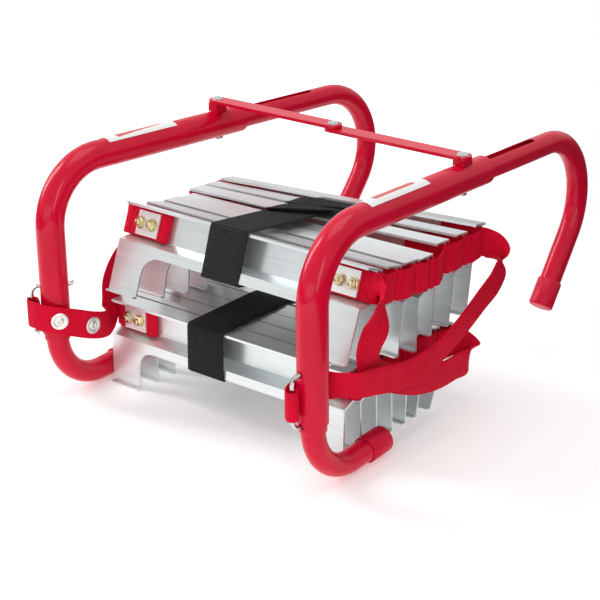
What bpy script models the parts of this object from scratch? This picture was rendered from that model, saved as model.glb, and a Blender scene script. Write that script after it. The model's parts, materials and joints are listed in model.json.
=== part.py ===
"""Two-storey escape ladder, folded for storage: two tube hooks, a folding spreader, fourteen rungs.

Metres, +Z up. X runs along the rungs from the left hook to the right one, Y runs from the hooks'
upright tubes towards the curved arms that go over a window sill. The origin is the middle of the
footprint, on the floor.
"""
import math

import bmesh
import bpy
from mathutils import Matrix, Vector

# Driving dimensions
HOOK_SPAN = 0.292
TUBE_R = 0.0127
TUBE_BORE_R = 0.01075
ARM_R = 0.0100
ARM_WALL = 0.0012
TUBE_SIDES = 20
COLLAR_R = 0.0114
COLLAR_LENGTH = 0.007

FLOOR_TO_COLLAR = 0.0647
UPRIGHT = 0.150
TOP_SLOPE = math.radians(-1.2)
OUTER_BEND = 0.055
OUTER_REACH = 0.236
PIVOT_REACH = 0.2045
LEFT_HOOK_Y = 0.005
LEFT_HOOK_YAW = math.radians(-4.76)

ARM_BEND = 0.062
ARM_TURN = math.radians(126)
ARM_DROP = 0.075
LEFT_ARM = (0.175, 0.357)
RIGHT_ARM = (0.162, 0.346)
SLOT_WIDTH = 0.008
SLOT_FROM_END = 0.004
SLOT_LENGTH = 0.152
TIP_CAP_LENGTH = 0.025
TIP_CAP_WALL = 0.0012

FOOT_BEND = 0.049
FOOT_TURN = math.radians(92)
FOOT_RUN = 0.043
FOOT_INSERT = 0.030
FOOT_CAP_LENGTH = 0.025
FOOT_CAP_WALL = 0.0012

BAR_WIDTH = 0.016
BAR_THICKNESS = 0.003
SADDLE_HEIGHT = 0.0045
BOLT_R = 0.0030
BOLT_HOLE_R = 0.0034
BOLT_HEAD_R = 0.0052

RING_WIRE_R = 0.0020
RING_TOP = 0.044
RING_BOTTOM = -0.001
RING_FRONT = 0.020
RING_BACK = 0.0175
RING_TAIL = 0.0060
RING_HOLE_R = 0.0028

RUNG_LENGTH = 0.264
SHEET = 0.0015
FLANGE_DEPTH = 0.020
LIP_HEIGHT = 0.0022
BEAD_HEIGHT = 0.0025
WEB_SETBACK = 0.013
WEB_HEIGHT = 0.028
FLANGE_DROP = 0.005
RUNG_HEIGHT = 0.0805
SKIRT = 0.009
LEG_WIDTH = 0.033
ARCH_RADIUS = 0.016
TOE = 0.0035

WEBBING_WIDTH = 0.025
WEBBING_THICKNESS = 0.0016
WEBBING_DEPTH = 0.0154
FRONT_LAYER = 0.0094
REAR_LAYER = 0.0117
FOLD_NEAR = 0.0168
FOLD_FAR = 0.0194
TUCK = 0.036
FRONT_TUCK = 0.0465
FOLD_REACH = 0.112
FOLD_BESIDE_BAND = 0.104
PLEAT_END = 0.0020
STRAP_JOIN = 0.0016

PLATE_SIZE = (0.025, 0.0215)
PLATE_THICKNESS = 0.0015
PLATE_INSET = 0.0105
PLATE_FACE = 0.0066
NUT_SPACING = 0.0135
NUT_FROM_END = 0.022
NUT_R = 0.0046
NUT_HEIGHT = 0.0045

BLACK_WIDTH = 0.041
BLACK_THICKNESS = 0.0018
SNAP_R = 0.0077
SNAP_HEIGHT = 0.0022
LABEL_THICKNESS = 0.0003
GAP = 0.0003
FLOOR = -FLOOR_TO_COLLAR

# Rungs, front to back: left end x, lip y, lip z (None stands the rung on the floor), tilt, yaw
UPPER_ROW = [
    (0.0390, 0.0620, 0.114, 21, -1.0),
    (0.0390, 0.0860, 0.107, 13, -0.6),
    (0.0390, 0.1080, 0.103, 6, -0.3),
    (0.0380, 0.1285, 0.099, 2, 0.0),
    (0.0320, 0.1500, 0.101, 5, 3.0),
    (0.0320, 0.1715, 0.100, 8, 5.0),
    (0.0320, 0.1940, 0.100, 11, 7.0),
]
LOWER_ROW = [
    (0.0140, 0.0600, None, 1.5, 0.0),
    (0.0140, 0.0815, None, 0, 0.0),
    (0.0140, 0.1030, None, -1, 0.0),
    (0.0140, 0.1245, None, -2, 0.0),
    (0.0140, 0.1470, None, 3, 0.8),
    (0.0140, 0.1710, None, 13, 2.0),
    (0.0140, 0.2010, None, 28, 4.0),
]
BANDED_RUNGS = 6
UPPER_BLACK_X = 0.139
LOWER_BLACK_X = 0.108

RED_PAINT = ("red_paint", (0.62, 0.012, 0.035, 1), 0.28, 0.0)
RED_VINYL = ("red_vinyl", (0.55, 0.012, 0.030, 1), 0.35, 0.0)
RED_WEBBING = ("red_webbing", (0.60, 0.006, 0.020, 1), 0.75, 0.0)
BLACK_WEBBING = ("black_webbing", (0.010, 0.010, 0.011, 1), 0.80, 0.0)
ALUMINIUM = ("aluminium", (0.80, 0.80, 0.80, 1), 0.30, 1.0)
YELLOW_ZINC = ("yellow_zinc", (0.70, 0.52, 0.22, 1), 0.30, 1.0)
CHROME = ("chrome", (0.85, 0.85, 0.86, 1), 0.10, 1.0)
STICKER = ("sticker", (0.90, 0.90, 0.89, 1), 0.45, 0.0)


def material(finish):
    """Return the Principled material of a finish, making it once."""
    name, colour, roughness, metallic = finish
    if name in bpy.data.materials:
        return bpy.data.materials[name]
    mat = bpy.data.materials.new(name)
    mat.use_nodes = True
    shader = mat.node_tree.nodes["Principled BSDF"]
    shader.inputs["Base Color"].default_value = colour
    shader.inputs["Roughness"].default_value = roughness
    shader.inputs["Metallic"].default_value = metallic
    return mat


def add_object(name, bm, finish, parent, smooth_angle=35):
    """Turn a bmesh in world coordinates into an object whose origin is its parent's."""
    bmesh.ops.recalc_face_normals(bm, faces=bm.faces)
    mesh = bpy.data.meshes.new(name)
    origin = parent["place"] if parent else (0, 0, 0)
    bm.transform(Matrix.Translation(-Vector(origin)))
    bm.to_mesh(mesh)
    bm.free()
    mesh.shade_smooth()
    mesh.set_sharp_from_angle(angle=math.radians(smooth_angle))
    mesh.materials.append(material(finish))
    obj = bpy.data.objects.new(name, mesh)
    bpy.context.scene.collection.objects.link(obj)
    obj.parent = parent
    return obj


def add_empty(name, place, parent):
    """Place an empty on a joint's axis, at a point in world coordinates."""
    empty = bpy.data.objects.new(name, None)
    bpy.context.scene.collection.objects.link(empty)
    origin = parent["place"] if parent else (0, 0, 0)
    empty.location = Vector(place) - Vector(origin)
    empty["place"] = tuple(place)
    empty.parent = parent
    return empty


def cut(obj, cutter):
    """Subtract a cutter from an object with an exact Boolean."""
    cutter.parent = obj.parent
    cutter.hide_render = True
    cutter.display_type = "WIRE"
    cutter.hide_set(True)
    boolean = obj.modifiers.new("cut_" + cutter.name, "BOOLEAN")
    boolean.operation = "DIFFERENCE"
    boolean.solver = "EXACT"
    boolean.object = cutter


def bridge_rings(bm, rings, closed=False):
    """Join successive rings of vertices with quads; closed joins the last to the first."""
    pairs = list(zip(rings, rings[1:]))
    if closed:
        pairs.append((rings[-1], rings[0]))
    for one, two in pairs:
        count = len(one)
        for i in range(count):
            j = (i + 1) % count
            bm.faces.new((one[i], one[j], two[j], two[i]))


def prism(bm, outline, direction):
    """Extrude a closed outline of 3-D points along a vector into a capped solid."""
    near = [bm.verts.new(p) for p in outline]
    far = [bm.verts.new(Vector(p) + Vector(direction)) for p in outline]
    bridge_rings(bm, [near, far])
    bm.faces.new(near[::-1])
    bm.faces.new(far)


def cylinder(bm, start, end, radius, sides=12):
    """Add a capped cylinder between two points."""
    start, end = Vector(start), Vector(end)
    axis = (end - start).normalized()
    side = axis.orthogonal().normalized()
    other = axis.cross(side)
    angles = [math.tau * i / sides for i in range(sides)]
    outline = [start + radius * (side * math.cos(a) + other * math.sin(a)) for a in angles]
    prism(bm, outline, end - start)


def turned(bm, base, axis, profile, sides=12):
    """Turn a closed profile of (radius, height) points, starting and ending on the axis."""
    base, axis = Vector(base), Vector(axis).normalized()
    side = axis.orthogonal().normalized()
    other = axis.cross(side)
    rings = []
    for radius, height in profile:
        ring = []
        for i in range(sides):
            a = math.tau * i / sides
            spoke = side * math.cos(a) + other * math.sin(a)
            ring.append(bm.verts.new(base + axis * height + spoke * radius))
        rings.append(ring)
    bridge_rings(bm, rings)
    bm.faces.new(rings[0][::-1])
    bm.faces.new(rings[-1])


class Plane:
    """A vertical plane that a hook lies in: u runs away from its upright, v runs up."""

    def __init__(self, x, y, yaw=0.0):
        self.base = Vector((x, y, 0))
        self.heading = Vector((math.sin(-yaw), math.cos(yaw), 0))
        self.across = Vector((0, 0, 1)).cross(self.heading).normalized()

    def at(self, u, v):
        return self.base + self.heading * u + Vector((0, 0, v))


def walk(start, angle, moves):
    """Follow straight runs and arcs in a plane and return (u, v, angle) stations."""
    u, v = start
    stations = [(u, v, angle)]
    for kind, size, *turn in moves:
        if kind == "run":
            u += size * math.cos(angle)
            v += size * math.sin(angle)
            stations.append((u, v, angle))
            continue
        sweep, steps = turn
        sign = math.copysign(1, sweep)
        centre_u = u - sign * size * math.sin(angle)
        centre_v = v + sign * size * math.cos(angle)
        for i in range(1, steps + 1):
            a = angle + sweep * i / steps
            stations.append((centre_u + sign * size * math.sin(a), centre_v - sign * size * math.cos(a), a))
        u, v, angle = stations[-1]
    return stations


def pipe(bm, plane, stations, outer, inner):
    """Sweep a hollow tube along stations; outer and inner give each station's radii."""
    rings = []
    for radii in (outer, inner):
        loop = []
        for (u, v, angle), radius in zip(stations, radii):
            up = -math.sin(angle) * plane.heading + Vector((0, 0, math.cos(angle)))
            ring = []
            for i in range(TUBE_SIDES):
                a = math.tau * (i + 0.5) / TUBE_SIDES
                ring.append(bm.verts.new(plane.at(u, v) + radius * (plane.across * math.cos(a) + up * math.sin(a))))
            loop.append(ring)
        rings.append(loop)
    bridge_rings(bm, rings[0] + rings[1][::-1], closed=True)


def closed_sleeve(bm, plane, stations, outer_r, inner_r, end_thickness):
    """Sweep a cap: a tube over the last stations whose far end is a solid disc."""
    u, v, angle = stations[-1]
    floor_station = (u + GAP * math.cos(angle), v + GAP * math.sin(angle), angle)
    end_station = (
        u + (GAP + end_thickness) * math.cos(angle),
        v + (GAP + end_thickness) * math.sin(angle),
        angle,
    )
    rings = []
    for (cu, cv, a), radius in (
        [(s, inner_r) for s in [floor_station] + stations[::-1][1:]]
        + [(s, outer_r) for s in stations[:-1]]
        + [(end_station, outer_r)]
    ):
        up = -math.sin(a) * plane.heading + Vector((0, 0, math.cos(a)))
        angles = [math.tau * (i + 0.5) / TUBE_SIDES for i in range(TUBE_SIDES)]
        spokes = [plane.across * math.cos(b) + up * math.sin(b) for b in angles]
        rings.append([bm.verts.new(plane.at(cu, cv) + radius * s) for s in spokes])
    bridge_rings(bm, rings)
    bm.faces.new(rings[0][::-1])
    bm.faces.new(rings[-1])


def tail_of(stations, length):
    """Return the end of a straight-ended path: its last stretch of the given length."""
    u, v, angle = stations[-1]
    start = (u - length * math.cos(angle), v - length * math.sin(angle), angle)
    return [start, (u, v, angle)]


def outer_path(bar_end):
    top = TOP_SLOPE - math.pi / 2
    straight = UPRIGHT - OUTER_BEND
    reach = (bar_end - OUTER_BEND) / math.cos(TOP_SLOPE)
    return walk((0, -COLLAR_LENGTH), math.pi / 2, [
        ("run", COLLAR_LENGTH), ("run", straight), ("arc", OUTER_BEND, top, 8), ("run", reach)])


def bar_height(u):
    """Height of the top bar's centreline at a distance from the upright."""
    return UPRIGHT + math.tan(TOP_SLOPE) * (u - OUTER_BEND)


def arm_path(front, bend_start):
    run = (bend_start - front) / math.cos(TOP_SLOPE)
    return walk((front, bar_height(front)), TOP_SLOPE, [
        ("run", run), ("arc", ARM_BEND, -ARM_TURN, 12), ("run", ARM_DROP)])


def foot_path():
    drop = FOOT_INSERT + 0.005
    return walk((0, FOOT_INSERT), -math.pi / 2, [
        ("run", drop), ("arc", FOOT_BEND, FOOT_TURN, 9), ("run", FOOT_RUN)])


def slot_cutter(name, plane, start, end):
    """A stadium-ended cutter that goes through both walls of the sliding arm."""
    half = SLOT_WIDTH / 2
    outline = []
    for centre, first in ((end - half, -90), (start + half, 90)):
        for i in range(7):
            a = math.radians(first + 30 * i)
            u = centre + half * math.cos(a)
            point = plane.at(u, bar_height(u) - 0.02) + plane.across * half * math.sin(a)
            outline.append(point)
    bm = bmesh.new()
    prism(bm, outline, (0, 0, 0.04))
    return add_object(name, bm, RED_PAINT, None)


def ring_axis(side):
    """Horizontal direction in which a side's strap ring stands out of its upright."""
    return Vector((-0.67, -0.74, 0)).normalized() if side == "left" else Vector((-0.25, -0.97, 0)).normalized()


def ring_cutter(name, plane, side, height):
    out = ring_axis(side)
    centre = plane.at(0, height)
    bm = bmesh.new()
    cylinder(bm, centre - out * 0.03, centre + out * 0.03, RING_HOLE_R, 8)
    return add_object(name, bm, RED_PAINT, None)


def strap_ring(bm, plane, side):
    """A wire staple: its top leg runs right through the upright, its low leg ends inside it."""
    out = ring_axis(side)
    corner = 0.007
    path = [(-RING_BACK, RING_TOP + 0.0012), (-RING_BACK + 0.003, RING_TOP)]
    for cv, first in ((RING_TOP - corner, 90), (RING_BOTTOM + corner, 0)):
        for i in range(5):
            a = math.radians(first - 22.5 * i)
            path.append((RING_FRONT - corner + corner * math.cos(a), cv + corner * math.sin(a)))
    path.append((-RING_TAIL, RING_BOTTOM))
    across = Vector((0, 0, 1)).cross(out)
    rings = []
    for i, (u, v) in enumerate(path):
        before, after = path[max(i - 1, 0)], path[min(i + 1, len(path) - 1)]
        tangent = (out * (after[0] - before[0]) + Vector((0, 0, after[1] - before[1]))).normalized()
        normal = tangent.cross(across)
        centre = plane.at(0, v) + out * u
        ring = []
        for k in range(8):
            a = math.tau * k / 8
            ring.append(bm.verts.new(centre + RING_WIRE_R * (across * math.cos(a) + normal * math.sin(a))))
        rings.append(ring)
    bridge_rings(bm, rings)
    bm.faces.new(rings[0][::-1])
    bm.faces.new(rings[-1])


def pivot_point(plane):
    return plane.at(PIVOT_REACH, bar_height(PIVOT_REACH) + TUBE_R)


def build_hook(side, plane, foot_plane, arm, hook_parent, arm_parent, bar_end):
    """Outer tube, telescopic arm, foot tube, both caps, ring and label of one hook."""
    stations = outer_path(bar_end)
    bm = bmesh.new()
    outer = [COLLAR_R] + [TUBE_R] * (len(stations) - 1)
    inner = [TUBE_BORE_R] * len(stations)
    pipe(bm, plane, stations, outer, inner)
    tube = add_object(side + "_outer_tube", bm, RED_PAINT, hook_parent)
    pivot = pivot_point(plane)
    bm = bmesh.new()
    cylinder(bm, pivot - Vector((0, 0, 0.04)), pivot + Vector((0, 0, 0.01)), BOLT_HOLE_R)
    place_cut(tube, add_object("cut_" + side + "_bolt", bm, RED_PAINT, None))
    place_cut(tube, ring_cutter("cut_" + side + "_ring_top", plane, side, RING_TOP))
    place_cut(tube, ring_cutter("cut_" + side + "_ring_low", plane, side, RING_BOTTOM))

    stations = arm_path(*arm)
    cap_stations = tail_of(stations, TIP_CAP_LENGTH)
    bm = bmesh.new()
    pipe(bm, plane, stations, [ARM_R] * len(stations), [ARM_R - ARM_WALL] * len(stations))
    sliding = add_object(side + "_sliding_arm", bm, RED_PAINT, arm_parent)
    slot_start = arm[0] + SLOT_FROM_END
    place_cut(sliding, slot_cutter("cut_" + side + "_slot", plane, slot_start, slot_start + SLOT_LENGTH))
    bm = bmesh.new()
    closed_sleeve(bm, plane, cap_stations, ARM_R + GAP + TIP_CAP_WALL, ARM_R + GAP, TIP_CAP_WALL)
    add_object(side + "_tip_cap", bm, RED_VINYL, arm_parent)

    stations = foot_path()
    cap_stations = tail_of(stations, FOOT_CAP_LENGTH)
    bm = bmesh.new()
    pipe(bm, foot_plane, stations, [ARM_R] * len(stations), [ARM_R - ARM_WALL] * len(stations))
    foot = add_object(side + "_foot_tube", bm, RED_PAINT, hook_parent)
    place_cut(foot, ring_cutter("cut_" + side + "_foot_ring", plane, side, RING_BOTTOM))
    bm = bmesh.new()
    closed_sleeve(bm, foot_plane, cap_stations, ARM_R + GAP + FOOT_CAP_WALL, ARM_R + GAP, FOOT_CAP_WALL)
    add_object(side + "_foot_cap", bm, RED_VINYL, hook_parent)

    bm = bmesh.new()
    strap_ring(bm, plane, side)
    add_object(side + "_strap_ring", bm, CHROME, hook_parent)
    label(side, plane, hook_parent)


def place_cut(obj, cutter):
    """Give a world-space cutter the object's parent without moving it, then cut."""
    origin = obj.parent["place"] if obj.parent else (0, 0, 0)
    cutter.data.transform(Matrix.Translation(-Vector(origin)))
    cut(obj, cutter)


def label(side, plane, parent):
    """A thin curved sticker on the upper outer face of the top bar."""
    start, end = 0.066, 0.146
    first, last = 55, 125
    steps = 6
    bm = bmesh.new()
    rings = []
    for u in (start, end):
        loop = []
        for radius, order in ((TUBE_R + GAP, range(steps + 1)), (TUBE_R + GAP + LABEL_THICKNESS, range(steps, -1, -1))):
            for i in order:
                a = math.radians(first + (last - first) * i / steps)
                offset = plane.across * (-radius * math.cos(a)) + Vector((0, 0, radius * math.sin(a)))
                loop.append(bm.verts.new(plane.at(u, bar_height(u)) + offset))
        rings.append(loop)
    bridge_rings(bm, rings)
    bm.faces.new(rings[0][::-1])
    bm.faces.new(rings[1])
    add_object(side + "_label", bm, STICKER, parent)


def saddle(name, plane, height, parent):
    """Spacer block between a top bar and the spreader, hollowed to sit on the tube."""
    u = PIVOT_REACH
    half_w, half_l = 0.0056, 0.0065
    top = bar_height(u) + TUBE_R + height
    arc = []
    for i in range(7):
        x = -half_w + half_w * i / 3
        arc.append((x, math.sqrt((TUBE_R + GAP) ** 2 - x * x) / math.cos(TOP_SLOPE)))
    bm = bmesh.new()
    rings = []
    for du in (-half_l, half_l):
        low = [plane.at(u + du, bar_height(u + du) + z) + plane.across * x for x, z in arc]
        high = [plane.at(u + du, top) + plane.across * x for x in (half_w, -half_w)]
        rings.append([bm.verts.new(p) for p in low + high])
    bridge_rings(bm, rings)
    bm.faces.new(rings[0][::-1])
    bm.faces.new(rings[1])
    block = add_object(name, bm, RED_PAINT, parent)
    bm = bmesh.new()
    pivot = pivot_point(plane)
    cylinder(bm, pivot - Vector((0, 0, 0.02)), pivot + Vector((0, 0, 0.02)), BOLT_HOLE_R)
    place_cut(block, add_object("cut_" + name, bm, RED_PAINT, None))


def bar(name, start, end, bottom, parent):
    """A flat link with round ends and a hole at each end."""
    start, end = Vector(start), Vector(end)
    along = (end - start).normalized()
    across = Vector((0, 0, 1)).cross(along)
    outline = []
    for centre, first in ((end, -90), (start, 90)):
        for i in range(9):
            a = math.radians(first + 22.5 * i)
            spoke = along * math.cos(a) + across * math.sin(a)
            outline.append(Vector((centre.x, centre.y, bottom)) + spoke * BAR_WIDTH / 2)
    bm = bmesh.new()
    prism(bm, outline, (0, 0, BAR_THICKNESS))
    link = add_object(name, bm, RED_PAINT, parent)
    for place, label_end in ((start, "near"), (end, "far")):
        bm = bmesh.new()
        foot = Vector((place.x, place.y, bottom))
        cylinder(bm, foot - Vector((0, 0, 0.005)), foot + Vector((0, 0, 0.008)), BOLT_HOLE_R)
        place_cut(link, add_object("cut_" + name + "_" + label_end, bm, RED_PAINT, None))


def slot_bolt(name, plane, bar_top, parent):
    """Pivot rivet through the spreader, saddle, top bar and slot, peened over below."""
    pivot = pivot_point(plane)
    under = bar_height(PIVOT_REACH) - TUBE_R / math.cos(TOP_SLOPE) - GAP
    head = bar_top + GAP
    bm = bmesh.new()
    turned(bm, (pivot.x, pivot.y, 0), (0, 0, 1), [
        (0.0024, under - 0.0018), (0.0044, under - 0.0010), (0.0046, under - 0.0001), (BOLT_R, under),
        (BOLT_R, head - 0.0001), (BOLT_HEAD_R, head), (BOLT_HEAD_R * 0.85, head + 0.0012),
        (BOLT_HEAD_R * 0.4, head + 0.0020)])
    add_object(name, bm, CHROME, parent)


def link_rivet(centre, low, high, parent):
    """Rivet through both links at the middle joint."""
    bm = bmesh.new()
    turned(bm, (centre.x, centre.y, 0), (0, 0, 1), [
        (0.0020, low - 0.0022), (0.0046, low - 0.0014), (0.0050, low - GAP), (BOLT_R, low - GAP + 0.0001),
        (BOLT_R, high + GAP - 0.0001), (BOLT_HEAD_R, high + GAP), (BOLT_HEAD_R * 0.85, high + 0.0015),
        (BOLT_HEAD_R * 0.4, high + 0.0022)])
    add_object("spreader_rivet", bm, CHROME, parent)


def rung_matrix(spec):
    """World matrix of a rung: x along it, y towards its back, z up, zero at its left front lip."""
    x, y, z, tilt, yaw = spec
    tilt, yaw = math.radians(tilt), math.radians(yaw)
    if z is None:
        toe_reach = max(SHEET * math.sin(tilt), TOE * math.sin(-tilt))
        z = FLOOR + RUNG_HEIGHT * math.cos(tilt) + toe_reach
    turn = Matrix.Rotation(yaw, 4, "Z") @ Matrix.Rotation(-tilt, 4, "X")
    return Matrix.Translation((x, y, z)) @ turn


def rung_outline():
    """Section of a rung, front to the left: lip, flange, web, lower flange, leg and toe."""
    web = WEB_SETBACK
    shelf = -SHEET - WEB_HEIGHT
    knee = shelf - FLANGE_DROP + SHEET
    return [
        (0, 0), (FLANGE_DEPTH, 0), (FLANGE_DEPTH, -BEAD_HEIGHT), (FLANGE_DEPTH - SHEET, -BEAD_HEIGHT),
        (FLANGE_DEPTH - SHEET, -SHEET), (web + SHEET, -SHEET), (web + SHEET, shelf),
        (SHEET, knee - SHEET), (SHEET, -RUNG_HEIGHT), (-TOE, -RUNG_HEIGHT), (-TOE, -RUNG_HEIGHT + SHEET),
        (0, -RUNG_HEIGHT + SHEET), (0, knee), (web, shelf + SHEET), (web, -SHEET), (SHEET, -SHEET),
        (SHEET, -LIP_HEIGHT), (0, -LIP_HEIGHT)]


def arch_outline():
    """The opening between a rung's two legs, as a front view outline."""
    top = -WEB_HEIGHT - FLANGE_DROP - SKIRT
    left, right = LEG_WIDTH, RUNG_LENGTH - LEG_WIDTH
    low = -RUNG_HEIGHT - 0.01
    points = [(left, low), (right, low)]
    for centre, first in ((right - ARCH_RADIUS, 0), (left + ARCH_RADIUS, 90)):
        for i in range(5):
            a = math.radians(first + 22.5 * i)
            points.append((centre + ARCH_RADIUS * math.cos(a), top - ARCH_RADIUS + ARCH_RADIUS * math.sin(a)))
    return points


def rung_mesh():
    """One rung as a mesh in its own frame, cut open between its legs."""
    bm = bmesh.new()
    prism(bm, [(0, p, q) for p, q in rung_outline()], (RUNG_LENGTH, 0, 0))
    return bm


def build_rung(name, spec):
    bm = rung_mesh()
    bm.transform(rung_matrix(spec))
    rung = add_object(name, bm, ALUMINIUM, None, 30)
    bm = bmesh.new()
    prism(bm, [(x, -0.02, z) for x, z in arch_outline()], (0, 0.03, 0))
    bm.transform(rung_matrix(spec))
    cut(rung, add_object("cut_" + name, bm, ALUMINIUM, None))


def ribbon(name, stations, width, thickness, finish, parent=None):
    """Sweep a flat strap along (point, width direction) stations."""
    points = [Vector(p) for p, _ in stations]
    bm = bmesh.new()
    rings = []
    for i, (_, wide) in enumerate(stations):
        before = points[max(i - 1, 0)]
        after = points[min(i + 1, len(points) - 1)]
        into = (points[i] - before).normalized() if i else (after - points[i]).normalized()
        onward = (after - points[i]).normalized() if i < len(points) - 1 else into
        tangent = (into + onward).normalized()
        wide = Vector(wide)
        wide = (wide - tangent * wide.dot(tangent)).normalized()
        normal = tangent.cross(wide)
        spread = 1 / max(0.5, tangent.dot(onward))
        w = wide * width / 2
        n = normal * thickness / 2 * spread
        rings.append([bm.verts.new(points[i] + a * w + b * n) for a, b in ((1, 1), (-1, 1), (-1, -1), (1, -1))])
    bridge_rings(bm, rings)
    bm.faces.new(rings[0][::-1])
    bm.faces.new(rings[-1])
    bmesh.ops.triangulate(bm, faces=bm.faces)
    return add_object(name, bm, finish, parent, 50)


def smooth(stations, steps):
    """Resample (point, width direction) stations along a smooth curve through all of them."""
    result = []
    count = len(stations)
    for i in range(count - 1):
        quad = [stations[min(max(i + k, 0), count - 1)] for k in (-1, 0, 1, 2)]
        spans = [(quad[k + 1][0] - quad[k][0]).length for k in range(3)]
        for s in range(steps):
            result.append(tuple(blend_quad([q[k] for q in quad], spans, s / steps) for k in (0, 1)))
    result.append(stations[-1])
    return result


def slope_between(before, here, after, span_in, span_out):
    """Rate of change at the middle one of three values, however unevenly they are spaced."""
    if not span_in:
        return (after - here) / span_out
    if not span_out:
        return (here - before) / span_in
    return ((here - before) / span_in * span_out + (after - here) / span_out * span_in) / (span_in + span_out)


def blend_quad(q, spans, t):
    """Cubic between the middle two of four values."""
    first = slope_between(q[0], q[1], q[2], spans[0], spans[1]) * spans[1]
    last = slope_between(q[1], q[2], q[3], spans[1], spans[2]) * spans[1]
    rise = q[2] - q[1]
    return q[1] + first * t + (3 * rise - 2 * first - last) * t * t + (first + last - 2 * rise) * t ** 3


def strap_point(spec, side, inset, depth):
    """World point and width direction on a rung's webbing, inset from its left or right end."""
    place = rung_matrix(spec)
    x = inset if side == "left" else RUNG_LENGTH - inset
    point = place @ Vector((x, depth, -WEBBING_DEPTH))
    return point, place.to_3x3() @ Vector((0, 0, 1))


def pleats(name, row, side):
    """The webbing that joins one end of a row: clamped at each rung, folded between rungs."""
    stations = []
    for i, spec in enumerate(row):
        first, last = i == 0, i == len(row) - 1
        stations.append(strap_point(spec, side, PLEAT_END if first else -0.001, FRONT_LAYER))
        tuck = FRONT_TUCK if first else TUCK
        stations.append(strap_point(spec, side, tuck, FRONT_LAYER))
        stations.append(strap_point(spec, side, tuck + 0.0012, (FRONT_LAYER + REAR_LAYER) / 2))
        stations.append(strap_point(spec, side, tuck, REAR_LAYER))
        if last:
            stations.append(strap_point(spec, side, PLEAT_END, REAR_LAYER))
            break
        middle = (REAR_LAYER + FOLD_NEAR) / 2
        stations.append(strap_point(spec, side, -0.001, REAR_LAYER))
        stations.append(strap_point(spec, side, -0.0026, middle - 0.0012))
        stations.append(strap_point(spec, side, -0.0026, middle + 0.0012))
        stations.append(strap_point(spec, side, -0.001, FOLD_NEAR))
        reach = FOLD_BESIDE_BAND if row is UPPER_ROW and i == BANDED_RUNGS - 1 else FOLD_REACH
        stations.append(strap_point(spec, side, reach, FOLD_NEAR))
        stations.append(strap_point(spec, side, reach + 0.0014, (FOLD_NEAR + FOLD_FAR) / 2))
        stations.append(strap_point(spec, side, reach, FOLD_FAR))
        stations.append(strap_point(spec, side, -0.0012, FOLD_FAR))
        stations.append(strap_point(spec, side, -0.0028, FOLD_FAR + 0.002))
        stations.append(strap_point(row[i + 1], side, -0.0028, FRONT_LAYER - 0.002))
    ribbon(name, stations, WEBBING_WIDTH, WEBBING_THICKNESS, RED_WEBBING)


def free_strap(name, start, route, end):
    """A free stretch of webbing, smooth along its route and straight at its joined ends."""
    middle = smooth(start[1:] + route + end[:1], 3)
    ribbon(name, start[:1] + middle + end[1:], WEBBING_WIDTH, WEBBING_THICKNESS, RED_WEBBING)


def strap_joint(spec, side, depth, turned_over=False):
    """Two stations that bring a free strap squarely up to the webbing in a rung's channel."""
    sign = -1 if turned_over else 1
    ends = [strap_point(spec, side, inset, depth) for inset in (-0.0028, STRAP_JOIN)]
    return [(point, width * sign) for point, width in ends]


def millimetres(rows):
    """Read hand-chosen route points, in millimetres, with their width directions."""
    return [(Vector(row[:3]) / 1000, Vector(row[3:])) for row in rows]


def left_hook_strap():
    """Sewn loop round the left ring, past the upright and up to the first rung."""
    route = millimetres([
        (-3.5, -10.5, 19.0, 0, 0, 1), (-8.6, -6.9, 19.5, 0, 0, 1), (-13.5, -5.2, 20, 0, 0, 1),
        (-17.9, -9.4, 20, 0, 0, 1), (-14.0, -14.3, 20, 0, 0, 1), (-6.0, -15.2, 20, 0, 0, 1),
        (3.0, -13.4, 19, 0, 0, 1), (13.8, -4.0, 15.8, 0, 0, 1), (19, 10, 10.5, 0, 0.2, 1),
        (23.4, 25.8, 4.4, 0, 0.2, 1), (22.5, 42, -0.5, 0, 0.1, 1), (17, 53, -2, 0, -0.2, 1),
        (10.5, 61, 1.5, 0, -0.7, 0.7), (7.5, 67, 13, 0, -1, 0.3), (6.5, 70, 30, 0, -1, 0.2),
        (9, 82, 50, 0, -0.8, 0.5), (18, 115, 67, 0, -0.45, 0.9), (24.5, 158, 78, 0, -0.2, 1),
        (25, 188, 81, 0, 0, 1), (25.2, 199, 82.3, 0, 0.1, 1)])
    free_strap("left_hook_strap", [], route, strap_joint(UPPER_ROW[-1], "left", REAR_LAYER))
    return route


def right_hook_strap():
    """Sewn loop round the right ring, behind the upright, then back and up to the first rung."""
    route = millimetres([
        (283.2, -14.6, 20, 0, 0, -1), (287.2, -14.7, 20, 0, 0, -1), (291.3, -17.6, 20, 0, 0, -1),
        (290.6, -22.2, 20, 0, 0, -1), (286.2, -23.9, 20, 0, 0, -1), (281.5, -20.5, 20, 0, 0, -1),
        (276.2, -8, 20.5, 0, 0, -1), (275.6, 6, 21.5, 0, 0, -1), (283.5, 17.4, 23.5, 0, 0, -1),
        (297.0, 19.5, 26.0, -0.2, 0.1, -0.97), (307.5, 32, 24, -0.15, 0.3, -0.95),
        (311.3, 58.9, 18.8, -0.1, 0.1, -0.99), (311.5, 102.4, 10.3, -0.05, 0.15, -0.98),
        (313, 135, 12.5, -0.1, 0.3, -0.95), (314, 169.9, 24.1, -0.1, 0.42, -0.9),
        (315, 205.5, 42, -0.05, 0.44, -0.89), (315, 230, 55, 0, 0.44, -0.9),
        (312.5, 241, 65, 0, 0.3, -0.95), (303, 239, 79.5, 0, -0.12, -1)])
    free_strap("right_hook_strap", [], route, strap_joint(UPPER_ROW[-1], "right", REAR_LAYER, True))


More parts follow.
